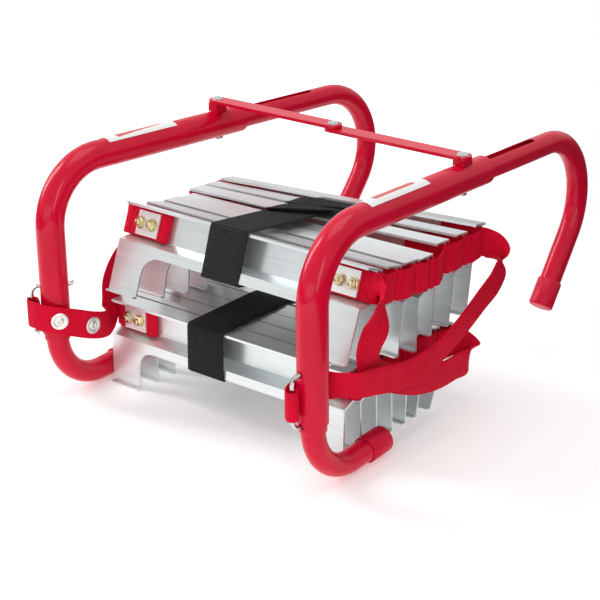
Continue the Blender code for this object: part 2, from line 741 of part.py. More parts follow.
def left_transfer_strap():
    """Webbing from the upper row's front rung down to the lower row's back rung, left side."""
    start = strap_joint(UPPER_ROW[0], "left", FRONT_LAYER)[::-1]
    route = millimetres([
        (33, 66.5, 96, 0, 0.36, 0.93), (32.2, 70.5, 95, 0, 0.38, 0.92), (31.5, 80, 89, 0, 0.45, 0.88),
        (30, 105, 63, 0, 0.5, 0.8),
        (24, 135, 42, 0, 0.5, 0.8), (9, 163, 25, 0, 0.5, 0.8), (4, 184, 5, 0, 0.6, 0.8),
        (4.5, 200, -7, 0, 0.4, 0.9)])
    end = strap_joint(LOWER_ROW[-1], "left", REAR_LAYER)
    free_strap("left_transfer_strap", start, route, end)


def right_transfer_strap():
    """Webbing that hangs in a twisted loop between the rows on the right side."""
    start = strap_joint(UPPER_ROW[0], "right", FRONT_LAYER, True)[::-1]
    route = millimetres([
        (312.3, 59.5, 93.8, -0.35, 0.2, -0.85), (313.4, 58, 84, -0.35, 0.93, -0.15),
        (312.5, 54.6, 65, 0.35, 0.93, -0.1), (309.5, 50.0, 49.8, 0.3, 0.95, 0),
        (307.5, 52.6, 34, 0.05, 0.98, 0.05),
        (305, 65.7, 20.5, -0.08, 0.96, 0.25), (300, 86.7, 9.0, -0.26, 0.8, 0.5),
        (298, 117.1, -5.5, -0.2, 0.5, 0.8), (296, 150.1, -18.3, 0, 0.3, 0.95),
        (294, 177.8, -24.4, 0, 0.2, 0.98), (292, 205, -26.5, 0, 0.1, 1), (290, 228, -27, 0, 0.2, 1),
        (285.5, 234, -22, 0, 0.4, 0.9), (281.5, 230, -16, 0, 0.5, 0.88)])
    end = strap_joint(LOWER_ROW[-1], "right", REAR_LAYER)
    free_strap("right_transfer_strap", start, route, end)


def clamp_front(row_name, spec, side):
    """Clamp plate and its two nuts, over the webbing at one end of a front rung."""
    place = rung_matrix(spec)
    sign = 1 if side == "left" else -1
    end = 0 if side == "left" else RUNG_LENGTH
    wide, tall = PLATE_SIZE
    centre_x = end + sign * (PLATE_INSET + wide / 2)
    low = -WEBBING_DEPTH - tall / 2
    box = [
        (centre_x - wide / 2, PLATE_FACE, low), (centre_x + wide / 2, PLATE_FACE, low),
        (centre_x + wide / 2, PLATE_FACE, low + tall), (centre_x - wide / 2, PLATE_FACE, low + tall)]
    bm = bmesh.new()
    prism(bm, box, (0, PLATE_THICKNESS, 0))
    bm.transform(place)
    add_object(row_name + "_" + side + "_clamp_plate", bm, ALUMINIUM, None)
    for number, shift in enumerate((-NUT_SPACING / 2, NUT_SPACING / 2), 1):
        bm = bmesh.new()
        start = (end + sign * NUT_FROM_END + shift, PLATE_FACE - GAP, -WEBBING_DEPTH)
        turned(bm, start, (0, -1, 0), [
            (NUT_R, 0), (NUT_R, NUT_HEIGHT), (0.0022, NUT_HEIGHT + 0.0001), (0.0020, NUT_HEIGHT + 0.0018)], 6)
        bm.transform(place)
        add_object("%s_%s_clamp_nut_%d" % (row_name, side, number), bm, YELLOW_ZINC, None)


def hull_loop(points):
    """Convex outline round 2-D points, anticlockwise."""
    points = sorted(set(points))
    halves = []
    for run in (points, points[::-1]):
        half = []
        for p in run:
            while len(half) > 1 and turn_of(half[-2], half[-1], p) <= 0:
                half.pop()
            half.append(p)
        halves += half[:-1]
    return halves


def turn_of(a, b, c):
    return (b[0] - a[0]) * (c[1] - a[1]) - (b[1] - a[1]) * (c[0] - a[0])


def offset_loop(loop, distance):
    """Move each side of a convex loop outwards and return the new corners."""
    corners = []
    count = len(loop)
    for i in range(count):
        here = Vector(loop[i])
        into = (here - Vector(loop[i - 1])).normalized()
        onward = (Vector(loop[(i + 1) % count]) - here).normalized()
        out = Vector((into.y + onward.y, -into.x - onward.x))
        corners.append(here + out * distance / (1 + into.dot(onward)))
    return corners


def black_band(name, row, left):
    """A black strap drawn tight round a row of rungs, through the openings between their legs."""
    skirt_low = -WEB_HEIGHT - FLANGE_DROP - SKIRT
    shelf = (WEB_SETBACK + SHEET, -SHEET - WEB_HEIGHT)
    edges = [(0, 0), (FLANGE_DEPTH, 0), (0, skirt_low), (SHEET, skirt_low), (FLANGE_DEPTH, -BEAD_HEIGHT), shelf]
    near = []
    for spec in row:
        place = rung_matrix(spec)
        for local_x in (left - spec[0], left + BLACK_WIDTH - spec[0]):
            for p, q in edges:
                point = place @ Vector((local_x, p, q))
                near.append((round(point.y, 6), round(point.z, 6)))
    loop = hull_loop(near)
    inside = offset_loop(loop, GAP * 2)
    outside = offset_loop(loop, GAP * 2 + BLACK_THICKNESS)
    bm = bmesh.new()
    rings = []
    for points, x in ((inside, left), (outside, left), (outside, left + BLACK_WIDTH), (inside, left + BLACK_WIDTH)):
        rings.append([bm.verts.new((x, p.x, p.y)) for p in points])
    bridge_rings(bm, rings, closed=True)
    add_object(name, bm, BLACK_WEBBING, None, 50)


def snap_cap(name, route, index):
    """A pressed snap fastener's cap on the outer face of a strap route."""
    before, here, after = route[index - 1][0], route[index][0], route[index + 1][0]
    tangent = (after - before).normalized()
    normal = tangent.cross(route[index][1]).normalized()
    bm = bmesh.new()
    turned(bm, here + normal * (WEBBING_THICKNESS / 2 + GAP * 2), normal, [
        (SNAP_R, 0), (SNAP_R, 0.0008), (SNAP_R * 0.8, SNAP_HEIGHT * 0.8), (SNAP_R * 0.35, SNAP_HEIGHT)], 16)
    add_object(name, bm, CHROME, None)


def centre_on_floor():
    """Move the whole assembly so that the origin is the middle of its footprint."""
    bpy.context.view_layer.update()
    shown = [obj for obj in bpy.data.objects if obj.type == "MESH" and not obj.hide_render]
    corners = [obj.matrix_world @ vertex.co for obj in shown for vertex in obj.data.vertices]
    low = Vector([min(c[i] for c in corners) for i in range(3)])
    high = Vector([max(c[i] for c in corners) for i in range(3)])
    origin = Vector(((low.x + high.x) / 2, (low.y + high.y) / 2, low.z))
    for obj in bpy.data.objects:
        if obj.parent is None:
            obj.location -= origin


def main():
    for obj in list(bpy.data.objects):
        bpy.data.objects.remove(obj)
    left_plane = Plane(0, LEFT_HOOK_Y, LEFT_HOOK_YAW)
    left_foot = Plane(0, LEFT_HOOK_Y)
    right_plane = Plane(HOOK_SPAN, 0)

    left_pivot = pivot_point(left_plane)
    right_pivot = pivot_point(right_plane)
    right_bar_low = right_pivot.z + SADDLE_HEIGHT + GAP
    left_bar_low = right_bar_low + BAR_THICKNESS + GAP
    middle = (left_pivot + right_pivot) / 2

    link_1 = add_empty("axis_link_1", (left_pivot.x, left_pivot.y, left_bar_low), None)
    link_2 = add_empty("axis_link_2", (middle.x, middle.y, right_bar_low), link_1)
    right_hook = add_empty("axis_right_hook", (right_pivot.x, right_pivot.y, right_bar_low), link_2)
    left_slide = add_empty("axis_left_arm", left_plane.at(LEFT_ARM[0], bar_height(LEFT_ARM[0])), None)
    right_slide = add_empty("axis_right_arm", right_plane.at(RIGHT_ARM[0], bar_height(RIGHT_ARM[0])), right_hook)

    build_hook("left", left_plane, left_foot, LEFT_ARM, None, left_slide, OUTER_REACH - LEFT_HOOK_Y)
    build_hook("right", right_plane, right_plane, RIGHT_ARM, right_hook, right_slide, OUTER_REACH)

    saddle("left_saddle", left_plane, left_bar_low - left_pivot.z - GAP, None)
    saddle("right_saddle", right_plane, SADDLE_HEIGHT, right_hook)
    bar("spreader_bar_left", left_pivot, middle, left_bar_low, link_1)
    bar("spreader_bar_right", middle, right_pivot, right_bar_low, link_2)
    slot_bolt("left_slot_bolt", left_plane, left_bar_low + BAR_THICKNESS, None)
    slot_bolt("right_slot_bolt", right_plane, right_bar_low + BAR_THICKNESS, right_hook)
    link_rivet(middle, right_bar_low, left_bar_low + BAR_THICKNESS, link_1)

    for number, spec in enumerate(UPPER_ROW[::-1], 1):
        build_rung("rung_%02d" % number, spec)
    for number, spec in enumerate(LOWER_ROW, 8):
        build_rung("rung_%02d" % (22 - number), spec)
    for row_name, row in (("upper", UPPER_ROW), ("lower", LOWER_ROW)):
        for side in ("left", "right"):
            pleats("%s_webbing_%s" % (row_name, side), row, side)
            clamp_front(row_name, row[0], side)
    black_band("upper_black_strap", UPPER_ROW[:BANDED_RUNGS], UPPER_BLACK_X)
    black_band("lower_black_strap", LOWER_ROW, LOWER_BLACK_X)
    route = left_hook_strap()
    snap_cap("snap_cap_1", route, 7)
    snap_cap("snap_cap_2", route, 9)
    right_hook_strap()
    left_transfer_strap()
    right_transfer_strap()
    centre_on_floor()


main()
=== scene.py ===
"""Looks of the stowed escape ladder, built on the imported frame."""

import json
import math

import bmesh
import bpy
from mathutils import Matrix, Vector


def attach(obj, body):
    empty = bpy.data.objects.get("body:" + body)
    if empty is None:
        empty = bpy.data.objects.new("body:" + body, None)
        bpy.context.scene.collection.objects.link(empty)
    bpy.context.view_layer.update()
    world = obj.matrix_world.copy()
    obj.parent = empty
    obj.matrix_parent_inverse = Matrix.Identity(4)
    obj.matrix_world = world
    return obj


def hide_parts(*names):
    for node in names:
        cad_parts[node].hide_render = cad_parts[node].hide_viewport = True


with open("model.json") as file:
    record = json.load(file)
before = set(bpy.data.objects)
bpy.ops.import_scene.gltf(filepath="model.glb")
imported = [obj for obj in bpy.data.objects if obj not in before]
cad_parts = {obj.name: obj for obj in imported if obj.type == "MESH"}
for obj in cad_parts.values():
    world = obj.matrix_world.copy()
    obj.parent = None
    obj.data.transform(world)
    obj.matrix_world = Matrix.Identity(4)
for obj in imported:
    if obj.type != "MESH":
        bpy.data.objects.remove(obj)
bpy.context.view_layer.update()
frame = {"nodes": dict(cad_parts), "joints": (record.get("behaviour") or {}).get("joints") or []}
NODES = frame["nodes"]
JOINTS = {joint["name"]: joint for joint in frame["joints"]}

# Sizes shared with the part, in metres. Points are drawn from the left hook's upright.
HOOK_SPAN = 0.292
PIVOT_REACH = 0.2045
COLLAR_ABOVE_FLOOR = 0.0647
RUNG_LENGTH = 0.264
RUNG_HEIGHT = 0.0805
SHEET = 0.0015
TOE = 0.0035
WEBBING_WIDTH = 0.025
WEBBING_THICKNESS = 0.0016
WEBBING_DEPTH = 0.0154
FRONT_LAYER = 0.0094
REAR_LAYER = 0.0117
FOLD_NEAR = 0.0168
FOLD_FAR = 0.0194
TUCK = 0.036
FRONT_TUCK = 0.0465
FOLD_REACH = 0.112
FOLD_BESIDE_BAND = 0.104
BANDED_RUNGS = 6
PLEAT_END = 0.0020
STRAP_JOIN = 0.0016
STRAP_OVERRUN = 0.0028
STRAP_STEPS = 8
SNAP_R = 0.0077
UPPER_ROW = [
    (0.0390, 0.0620, 0.114, 21, -1.0),
    (0.0390, 0.0860, 0.107, 13, -0.6),
    (0.0390, 0.1080, 0.103, 6, -0.3),
    (0.0380, 0.1285, 0.099, 2, 0.0),
    (0.0320, 0.1500, 0.101, 5, 3.0),
    (0.0320, 0.1715, 0.100, 8, 5.0),
    (0.0320, 0.1940, 0.100, 11, 7.0),
]
LOWER_ROW = [
    (0.0140, 0.0600, None, 1.5, 0.0),
    (0.0140, 0.0815, None, 0, 0.0),
    (0.0140, 0.1030, None, -1, 0.0),
    (0.0140, 0.1245, None, -2, 0.0),
    (0.0140, 0.1470, None, 3, 0.8),
    (0.0140, 0.1710, None, 13, 2.0),
    (0.0140, 0.2010, None, 28, 4.0),
]
right_pivot = JOINTS["spreader_right_pivot"]["pos_m"]
SHIFT = Vector((right_pivot[0] - HOOK_SPAN, right_pivot[1] - PIVOT_REACH, COLLAR_ABOVE_FLOOR))


# ---------------------------------------------------------------- materials

RED_WEAVE_PITCH = 0.0023
BLACK_RIB_PITCH = 0.0021
BLACK_WARP_PITCH = 0.0011
LABEL_WHITE = (0.88, 0.88, 0.87)
LABEL_RED = (0.62, 0.10, 0.09)

class Shader:
    """A Principled material and short calls to wire nodes into it."""

    def __init__(self, name, colour, roughness, metallic=0.0):
        self.material = bpy.data.materials.new(name)
        self.material.use_nodes = True
        self.tree = self.material.node_tree
        self.principled = self.tree.nodes["Principled BSDF"]
        self.set("Base Color", (*colour, 1))
        self.set("Roughness", roughness)
        self.set("Metallic", metallic)
        self.material.diffuse_color = (*colour, 1)

    def set(self, name, value):
        self.principled.inputs[name].default_value = value

    def node(self, kind, settings=None, **inputs):
        node = self.tree.nodes.new(kind)
        for key, value in (settings or {}).items():
            setattr(node, key, value)
        for key, value in inputs.items():
            socket = node.inputs[int(key[1:])] if key[0] == "i" and key[1:].isdigit() else node.inputs[key]
            if isinstance(value, bpy.types.NodeSocket):
                self.tree.links.new(value, socket)
            else:
                socket.default_value = value
        return node

    def link(self, output, name):
        self.tree.links.new(output, self.principled.inputs[name])

    def math(self, operation, a, b=0.0):
        return self.node("ShaderNodeMath", {"operation": operation}, i0=a, i1=b).outputs[0]

    def position(self):
        return self.node("ShaderNodeTexCoord").outputs["Object"]

    def noise(self, scale, detail=3.0, vector=None, roughness=0.5):
        vector = vector or self.position()
        node = self.node("ShaderNodeTexNoise", Vector=vector, Scale=scale, Detail=detail, Roughness=roughness)
        return node.outputs["Fac"]

    def stretched(self, scales):
        node = self.node("ShaderNodeMapping", Vector=self.position())
        node.inputs["Scale"].default_value = scales
        return node.outputs["Vector"]

    def ramp(self, factor, stops):
        node = self.node("ShaderNodeValToRGB", Fac=factor)
        ramp = node.color_ramp
        while len(ramp.elements) < len(stops):
            ramp.elements.new(0.5)
        for element, (place, colour) in zip(ramp.elements, stops):
            element.position = place
            element.color = (*colour, 1)
        return node.outputs["Color"]

    def spread(self, factor, low, high):
        """Map 0..1 to low..high."""
        node = self.node("ShaderNodeMapRange", Value=factor)
        node.inputs["To Min"].default_value = low
        node.inputs["To Max"].default_value = high
        return node.outputs["Result"]

    def ribs(self, metres, pitch):
        """Rounded ribs, 0 in the grooves and 1 on the crests, one every pitch."""
        wave = self.math("SINE", self.math("MULTIPLY", metres, math.pi / pitch))
        return self.math("ABSOLUTE", wave)

    def bump(self, height, distance, strength=1.0):
        node = self.node("ShaderNodeBump", Height=height, Distance=distance, Strength=strength)
        self.link(node.outputs["Normal"], "Normal")


def paint_material():
    """Glossy powder coat with a faint orange peel."""
    s = Shader("scene_red_paint", (0.58, 0.0010, 0.020), 0.30)
    s.set("Coat Weight", 0.34)
    s.set("Coat Roughness", 0.09)
    s.set("Specular IOR Level", 0.08)
    tint = s.noise(22, 3)
    s.link(s.ramp(tint, [(0.3, (0.60, 0.0008, 0.026)), (0.7, (0.68, 0.0014, 0.034))]), "Base Color")
    s.link(s.spread(s.noise(60, 4), 0.26, 0.36), "Roughness")
    s.bump(s.noise(900, 2), 0.00008, 0.2)
    return s.material


def vinyl_material():
    """Dipped vinyl: duller than the paint, with a fine grain."""
    s = Shader("scene_red_vinyl", (0.52, 0.002, 0.022), 0.36)
    s.set("Specular IOR Level", 0.25)
    s.link(s.ramp(s.noise(30, 3), [(0.3, (0.58, 0.0012, 0.028)), (0.7, (0.66, 0.0020, 0.036))]), "Base Color")
    s.link(s.spread(s.noise(120, 3), 0.30, 0.44), "Roughness")
    s.bump(s.noise(500, 3), 0.00015, 0.35)
    return s.material


def aluminium_material():
    """Satin extrusion: fine lines along the rung, faint smudges, and a cool tint painted in to offset the red
    light reflected onto it from the red parts round it.
    """
    s = Shader("scene_aluminium", (0.86, 0.865, 0.87), 0.30, 0.74)
    lines = s.noise(1.0, 4, s.stretched((6, 2600, 2600)), 0.6)
    bands = s.noise(1.0, 2, s.stretched((3, 420, 420)), 0.5)
    smudge = s.noise(14, 4)
    tone = s.math("ADD", s.math("MULTIPLY", lines, 0.45), s.math("MULTIPLY", smudge, 0.25))
    tone = s.math("ADD", tone, s.math("MULTIPLY", bands, 0.30))
    # Red sits below green and blue in every stop: a painted cool cast that cancels the red light reflected
    # onto the metal.
    s.link(s.ramp(tone, [(0.34, (0.67, 0.725, 0.73)), (0.50, (0.77, 0.825, 0.83)),
                         (0.64, (0.84, 0.885, 0.89))]), "Base Color")
    s.link(s.spread(tone, 0.24, 0.34), "Roughness")
    s.bump(s.math("ADD", s.math("MULTIPLY", lines, 0.3), bands), 0.00005, 0.16)
    return s.material


def plate_material():
    """Brushed clamp plate."""
    s = Shader("scene_plate", (0.88, 0.88, 0.88), 0.38, 0.6)
    s.link(s.spread(s.noise(200, 3), 0.30, 0.46), "Roughness")
    s.bump(s.noise(1.0, 3, s.stretched((3000, 60, 60))), 0.00005, 0.4)
    return s.material


def zinc_material():
    """Yellow zinc plating that shifts between olive, gold and silver."""
    s = Shader("scene_yellow_zinc", (0.66, 0.58, 0.36), 0.24, 1.0)
    s.link(s.ramp(s.noise(260, 3), [(0.35, (0.54, 0.50, 0.20)), (0.50, (0.74, 0.66, 0.42)),
                                    (0.70, (0.80, 0.76, 0.64))]), "Base Color")
    s.bump(s.noise(1500, 2), 0.00004, 0.4)
    return s.material


def chrome_material():
    """Bright plating, slightly hazy in places."""
    s = Shader("scene_chrome", (0.62, 0.63, 0.64), 0.13, 1.0)
    s.link(s.ramp(s.noise(300, 3), [(0.3, (0.52, 0.53, 0.54)), (0.7, (0.68, 0.69, 0.70))]), "Base Color")
    s.link(s.spread(s.noise(150, 3), 0.10, 0.24), "Roughness")
    s.bump(s.noise(1200, 2), 0.00003, 0.3)
    return s.material


def snap_material():
    """Nickel of the snap caps, duller and warmer than the chrome."""
    s = Shader("scene_snap_nickel", (0.80, 0.78, 0.74), 0.34, 0.85)
    s.link(s.ramp(s.noise(400, 3), [(0.3, (0.70, 0.69, 0.66)), (0.7, (0.86, 0.84, 0.80))]), "Base Color")
    s.link(s.spread(s.noise(700, 3), 0.28, 0.42), "Roughness")
    s.bump(s.noise(1600, 2), 0.00003, 0.3)
    return s.material


def red_webbing_material():
    """Woven strap: a diamond lattice of ribs in strap coordinates, with loose fibres, painted shade in its
    grooves and painted highlights on its crests.
    """
    s = Shader("scene_red_webbing", (0.58, 0.006, 0.022), 0.62)
    s.set("Specular IOR Level", 0.08)
    along, across = strap_axes(s)
    one = s.ribs(s.math("ADD", along, across), RED_WEAVE_PITCH)
    two = s.ribs(s.math("SUBTRACT", along, across), RED_WEAVE_PITCH)
    lattice = s.math("MULTIPLY", one, two)
    fibres = s.noise(2600, 2)
    height = s.math("ADD", lattice, s.math("MULTIPLY", fibres, 0.25))
    # Colour follows the lattice: painted shade, near black, in the grooves and painted highlights, bright
    # red, on the crests.
    tone = s.math("ADD", s.math("MULTIPLY", lattice, 0.75), s.math("MULTIPLY", s.noise(40, 3), 0.25))
    s.link(s.ramp(tone, [(0.04, (0.26, 0.001, 0.008)), (0.36, (0.80, 0.0012, 0.028)),
                         (0.85, (1.0, 0.010, 0.060))]), "Base Color")
    s.link(s.spread(lattice, 0.75, 0.50), "Roughness")
    s.bump(height, 0.00045, 1.0)
    return s.material


def black_webbing_material():
    """Ribbed binding strap: ribs run across it, with painted shade in the grooves between them."""
    s = Shader("scene_black_webbing", (0.016, 0.016, 0.017), 0.70)
    s.set("Specular IOR Level", 0.15)
    along, across = strap_axes(s)
    ribs = s.ribs(along, BLACK_RIB_PITCH)
    warp = s.ribs(across, BLACK_WARP_PITCH)
    height = s.math("ADD", ribs, s.math("MULTIPLY", warp, 0.35))
    # Colour follows the ribs: painted shade, darker in the grooves and lighter on the crests.
    tone = s.math("ADD", s.math("MULTIPLY", ribs, 0.6), s.math("MULTIPLY", s.noise(300, 3), 0.4))
    s.link(s.ramp(tone, [(0.15, (0.002, 0.002, 0.002)), (0.85, (0.026, 0.026, 0.027))]), "Base Color")
    s.bump(height, 0.00045, 1.0)
    return s.material


def strap_axes(s):
    """Metres along and across a strap, from its UV map."""
    strap_map = s.node("ShaderNodeUVMap", {"uv_map": "strap"})
    split = s.node("ShaderNodeSeparateXYZ", Vector=strap_map.outputs["UV"])
    return split.outputs["X"], split.outputs["Y"]


def sticker_material():
    """White label with one plain red block towards one end."""
    s = Shader("scene_sticker", LABEL_WHITE, 0.40)
    split = s.node("ShaderNodeSeparateXYZ", Vector=s.node("ShaderNodeTexCoord").outputs["Generated"])
    inside = None
    for socket, low, high in (("X", 0.0, 0.60), ("Y", 0.16, 0.84)):
        value = split.outputs[socket]
        span = s.math("MULTIPLY", s.math("GREATER_THAN", value, low), s.math("LESS_THAN", value, high))
        inside = span if inside is None else s.math("MULTIPLY", inside, span)
    block = s.node("ShaderNodeMix", {"data_type": "RGBA"}, i0=inside)
    block.inputs[6].default_value = (*LABEL_WHITE, 1)
    block.inputs[7].default_value = (*LABEL_RED, 1)
    s.link(block.outputs[2], "Base Color")
    s.bump(s.noise(400, 2), 0.00004, 0.3)
    return s.material


def thread_material(name, colour):
    s = Shader(name, colour, 0.6)
    s.link(s.ramp(s.noise(3000, 2), [(0.3, tuple(c * 0.7 for c in colour)), (0.7, colour)]), "Base Color")
    return s.material


PAINT = paint_material()
VINYL = vinyl_material()
ALUMINIUM = aluminium_material()
PLATE = plate_material()
ZINC = zinc_material()
CHROME = chrome_material()
SNAP = snap_material()
RED_WEBBING = red_webbing_material()
BLACK_WEBBING = black_webbing_material()
STICKER = sticker_material()
RED_THREAD = thread_material("scene_red_thread", (0.82, 0.012, 0.050))

LOOKS = (
    ("_outer_tube", PAINT), ("_sliding_arm", PAINT), ("_foot_tube", PAINT), ("_saddle", PAINT),
    ("spreader_bar", PAINT), ("_cap", VINYL), ("rung_", ALUMINIUM), ("clamp_plate", PLATE),
    ("clamp_nut", ZINC), ("_slot_bolt", CHROME), ("_strap_ring", CHROME), ("spreader_rivet", CHROME),
    ("snap_cap", CHROME), ("_label", STICKER), ("black_strap", BLACK_WEBBING), ("webbing", RED_WEBBING),
    ("hook_strap", RED_WEBBING), ("transfer_strap", RED_WEBBING))
for name, obj in NODES.items():
    for part, look in LOOKS:
        if part in name:
            obj.data.materials.clear()
            obj.data.materials.append(look)


# ---------------------------------------------------------------- mesh helpers


def add_object(name, bm, look, body, smooth_angle=40):
    bmesh.ops.recalc_face_normals(bm, faces=bm.faces)
    mesh = bpy.data.meshes.new(name)
    bm.to_mesh(mesh)
    bm.free()
    mesh.shade_smooth()
    mesh.set_sharp_from_angle(angle=math.radians(smooth_angle))
    mesh.materials.append(look)
    obj = bpy.data.objects.new(name, mesh)
    bpy.context.scene.collection.objects.link(obj)
    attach(obj, body)
    return obj


def slope_between(before, here, after, span_in, span_out):
    if not span_in:
        return (after - here) / span_out
    if not span_out:
        return (here - before) / span_in
    return ((here - before) / span_in * span_out + (after - here) / span_out * span_in) / (span_in + span_out)


def blend_quad(q, spans, t):
    first = slope_between(q[0], q[1], q[2], spans[0], spans[1]) * spans[1]
    last = slope_between(q[1], q[2], q[3], spans[1], spans[2]) * spans[1]
    rise = q[2] - q[1]
    return q[1] + first * t + (3 * rise - 2 * first - last) * t * t + (first + last - 2 * rise) * t ** 3


def smooth(stations, steps):
    """Resample (point, width direction) stations along a smooth curve through all of them."""
    result = []
    count = len(stations)
    for i in range(count - 1):
        quad = [stations[min(max(i + k, 0), count - 1)] for k in (-1, 0, 1, 2)]
        spans = [(quad[k + 1][0] - quad[k][0]).length for k in range(3)]
        for s in range(steps):
            result.append(tuple(blend_quad([q[k] for q in quad], spans, s / steps) for k in (0, 1)))
    result.append(stations[-1])
    return result


def strap_section(width, thickness):
    """Half-width and half-thickness offsets round a strap's section, with soft selvedges."""
    w, t = width / 2, thickness / 2
    top = [(w, 0.0), (w - 0.2 * t, 0.62 * t), (w - 0.8 * t, t), (w * 0.5, t * 0.97), (0.0, t),
           (-w * 0.5, t * 0.97), (-w + 0.8 * t, t), (-w + 0.2 * t, 0.62 * t)]
    return top + [(-x, -y) for x, y in top]


def ribbon(name, stations, look, width=WEBBING_WIDTH, thickness=WEBBING_THICKNESS, closed=False):
    """Sweep a strap with soft edges along (point, width direction) stations and map its weave."""
    points = [Vector(p) for p, _ in stations]
    count = len(points)
    bm = bmesh.new()
    uv = bm.loops.layers.uv.new("strap")
    section = strap_section(width, thickness)
    rings, lengths = [], []
    length = 0.0
    for i, (_, wide) in enumerate(stations):
        before = points[i - 1] if closed or i else points[0]
        after = points[(i + 1) % count] if closed or i < count - 1 else points[-1]
        if i:
            length += (points[i] - points[i - 1]).length
        into = points[i] - before
        onward = after - points[i]
        into = into.normalized() if into.length > 1e-9 else onward.normalized()
        onward = onward.normalized() if onward.length > 1e-9 else into
        tangent = (into + onward).normalized()
        wide = Vector(wide)
        wide = (wide - tangent * wide.dot(tangent)).normalized()
        normal = tangent.cross(wide)
        spread = 1 / max(0.6, tangent.dot(onward))
        rings.append([bm.verts.new(points[i] + a * wide + b * spread * normal) for a, b in section])
        lengths.append(length)
    edges = [section[k][0] for k in range(len(section))]
    pairs = [(i, i + 1) for i in range(count - 1)]
    if closed:
        pairs.append((count - 1, 0))
        lengths.append(length + (points[0] - points[-1]).length)
    for i, j in pairs:
        for k in range(len(section)):
            m = (k + 1) % len(section)
            face = bm.faces.new((rings[i][k], rings[i][m], rings[j][m], rings[j][k]))
            ends = (lengths[i], lengths[i], lengths[i + 1], lengths[i + 1])
            sides = (edges[k], edges[m], edges[m], edges[k])
            for loop, u, v in zip(face.loops, ends, sides):
                loop[uv].uv = (u, v)
    if not closed:
        bm.faces.new(rings[0][::-1])
        bm.faces.new(rings[-1])
    for vert in bm.verts:
        vert.co += SHIFT
    return add_object(name, bm, look, "left_hook", 60)


def rung_matrix(spec):
    """Place of a rung: x along it, y towards its back, z up, zero at its left front lip."""
    x, y, z, tilt, yaw = spec
    tilt, yaw = math.radians(tilt), math.radians(yaw)
    if z is None:
        toe_reach = max(SHEET * math.sin(tilt), TOE * math.sin(-tilt))
        z = -COLLAR_ABOVE_FLOOR + RUNG_HEIGHT * math.cos(tilt) + toe_reach
    turn = Matrix.Rotation(yaw, 4, "Z") @ Matrix.Rotation(-tilt, 4, "X")
    return Matrix.Translation((x, y, z)) @ turn


def strap_point(spec, side, inset, depth):
    """Point and width direction on a rung's webbing, inset from its left or right end."""
    place = rung_matrix(spec)
    x = inset if side == "left" else RUNG_LENGTH - inset
    return place @ Vector((x, depth, -WEBBING_DEPTH)), place.to_3x3() @ Vector((0, 0, 1))


def strap_joint(spec, side, depth, turned_over=False):
    """The two stations where a free strap runs into a rung's webbing."""
    sign = -1 if turned_over else 1
    ends = [strap_point(spec, side, inset, depth) for inset in (-STRAP_OVERRUN, STRAP_JOIN)]
    return [(point, width * sign) for point, width in ends]


def millimetres(rows):
    """Route points, in millimetres, with their width directions."""
    return [(Vector(row[:3]) / 1000, Vector(row[3:])) for row in rows]


# ---------------------------------------------------------------- tubes and caps

TUBE_R = 0.0127
TUBE_BORE_R = 0.01075
ARM_R = 0.0100
ARM_WALL = 0.0012
CAP_WALL = 0.0012
CAP_GAP = 0.0003
COLLAR_R = 0.0114
COLLAR_LENGTH = 0.007
UPRIGHT = 0.150
TOP_SLOPE = math.radians(-1.2)
OUTER_BEND = 0.055
OUTER_REACH = 0.236
LEFT_HOOK_Y = 0.005
LEFT_HOOK_YAW = math.radians(-4.76)
ARM_BEND = 0.062
ARM_TURN = math.radians(126)
ARM_DROP = 0.075
LEFT_ARM = (0.175, 0.357)
RIGHT_ARM = (0.162, 0.346)
SLOT_WIDTH = 0.008
SLOT_FROM_END = 0.004
SLOT_LENGTH = 0.152
FOOT_BEND = 0.049
FOOT_TURN = math.radians(92)
FOOT_RUN = 0.043
FOOT_INSERT = 0.030
CAP_LENGTH = 0.025
RING_TOP = 0.044
RING_BOTTOM = -0.001
RING_HOLE_R = 0.0028
RING_HEADINGS = {"left": (-0.67, -0.74, 0), "right": (-0.25, -0.97, 0)}
END_EASE = 0.0005
CAP_LIP = 0.0004
CAP_ROUND_R = 0.0022
RUN_STEP = 0.012
ARC_STEP = 0.003
SIDES = 48


class HookPlane:
    """A vertical plane that a hook lies in: u runs away from its upright, v runs up."""

    def __init__(self, x, y, yaw=0.0):
        self.base = Vector((x, y, 0)) + SHIFT
        self.heading = Vector((math.sin(-yaw), math.cos(yaw), 0))
        self.across = Vector((0, 0, 1)).cross(self.heading).normalized()

    def at(self, u, v):
        return self.base + self.heading * u + Vector((0, 0, v))


def walk(start, angle, moves):
    """Follow straight runs and arcs in a plane and return (u, v, angle) stations."""
    u, v = start
    stations = [(u, v, angle)]
    for kind, size, *turn in moves:
        if kind == "run":
            steps = max(1, round(size / RUN_STEP))
            for i in range(1, steps + 1):
                reach = size * i / steps
                stations.append((u + reach * math.cos(angle), v + reach * math.sin(angle), angle))
            u, v, angle = stations[-1]
            continue
        sweep = turn[0]
        steps = max(6, round(abs(sweep) * size / ARC_STEP))
        sign = math.copysign(1, sweep)
        centre_u = u - sign * size * math.sin(angle)
        centre_v = v + sign * size * math.cos(angle)
        for i in range(1, steps + 1):
            a = angle + sweep * i / steps
            stations.append((centre_u + sign * size * math.sin(a), centre_v - sign * size * math.cos(a), a))
        u, v, angle = stations[-1]
    return stations


def tube_ring(bm, plane, station, radius):
    u, v, angle = station
    up = -math.sin(angle) * plane.heading + Vector((0, 0, math.cos(angle)))
    ring = []
    for i in range(SIDES):
        a = math.tau * (i + 0.5) / SIDES
        ring.append(bm.verts.new(plane.at(u, v) + radius * (plane.across * math.cos(a) + up * math.sin(a))))
    return ring


def bridge(bm, rings, closed=False):
    pairs = list(zip(rings, rings[1:]))
    if closed:
        pairs.append((rings[-1], rings[0]))
    for one, two in pairs:
        for i in range(len(one)):
            j = (i + 1) % len(one)
            bm.faces.new((one[i], one[j], two[j], two[i]))


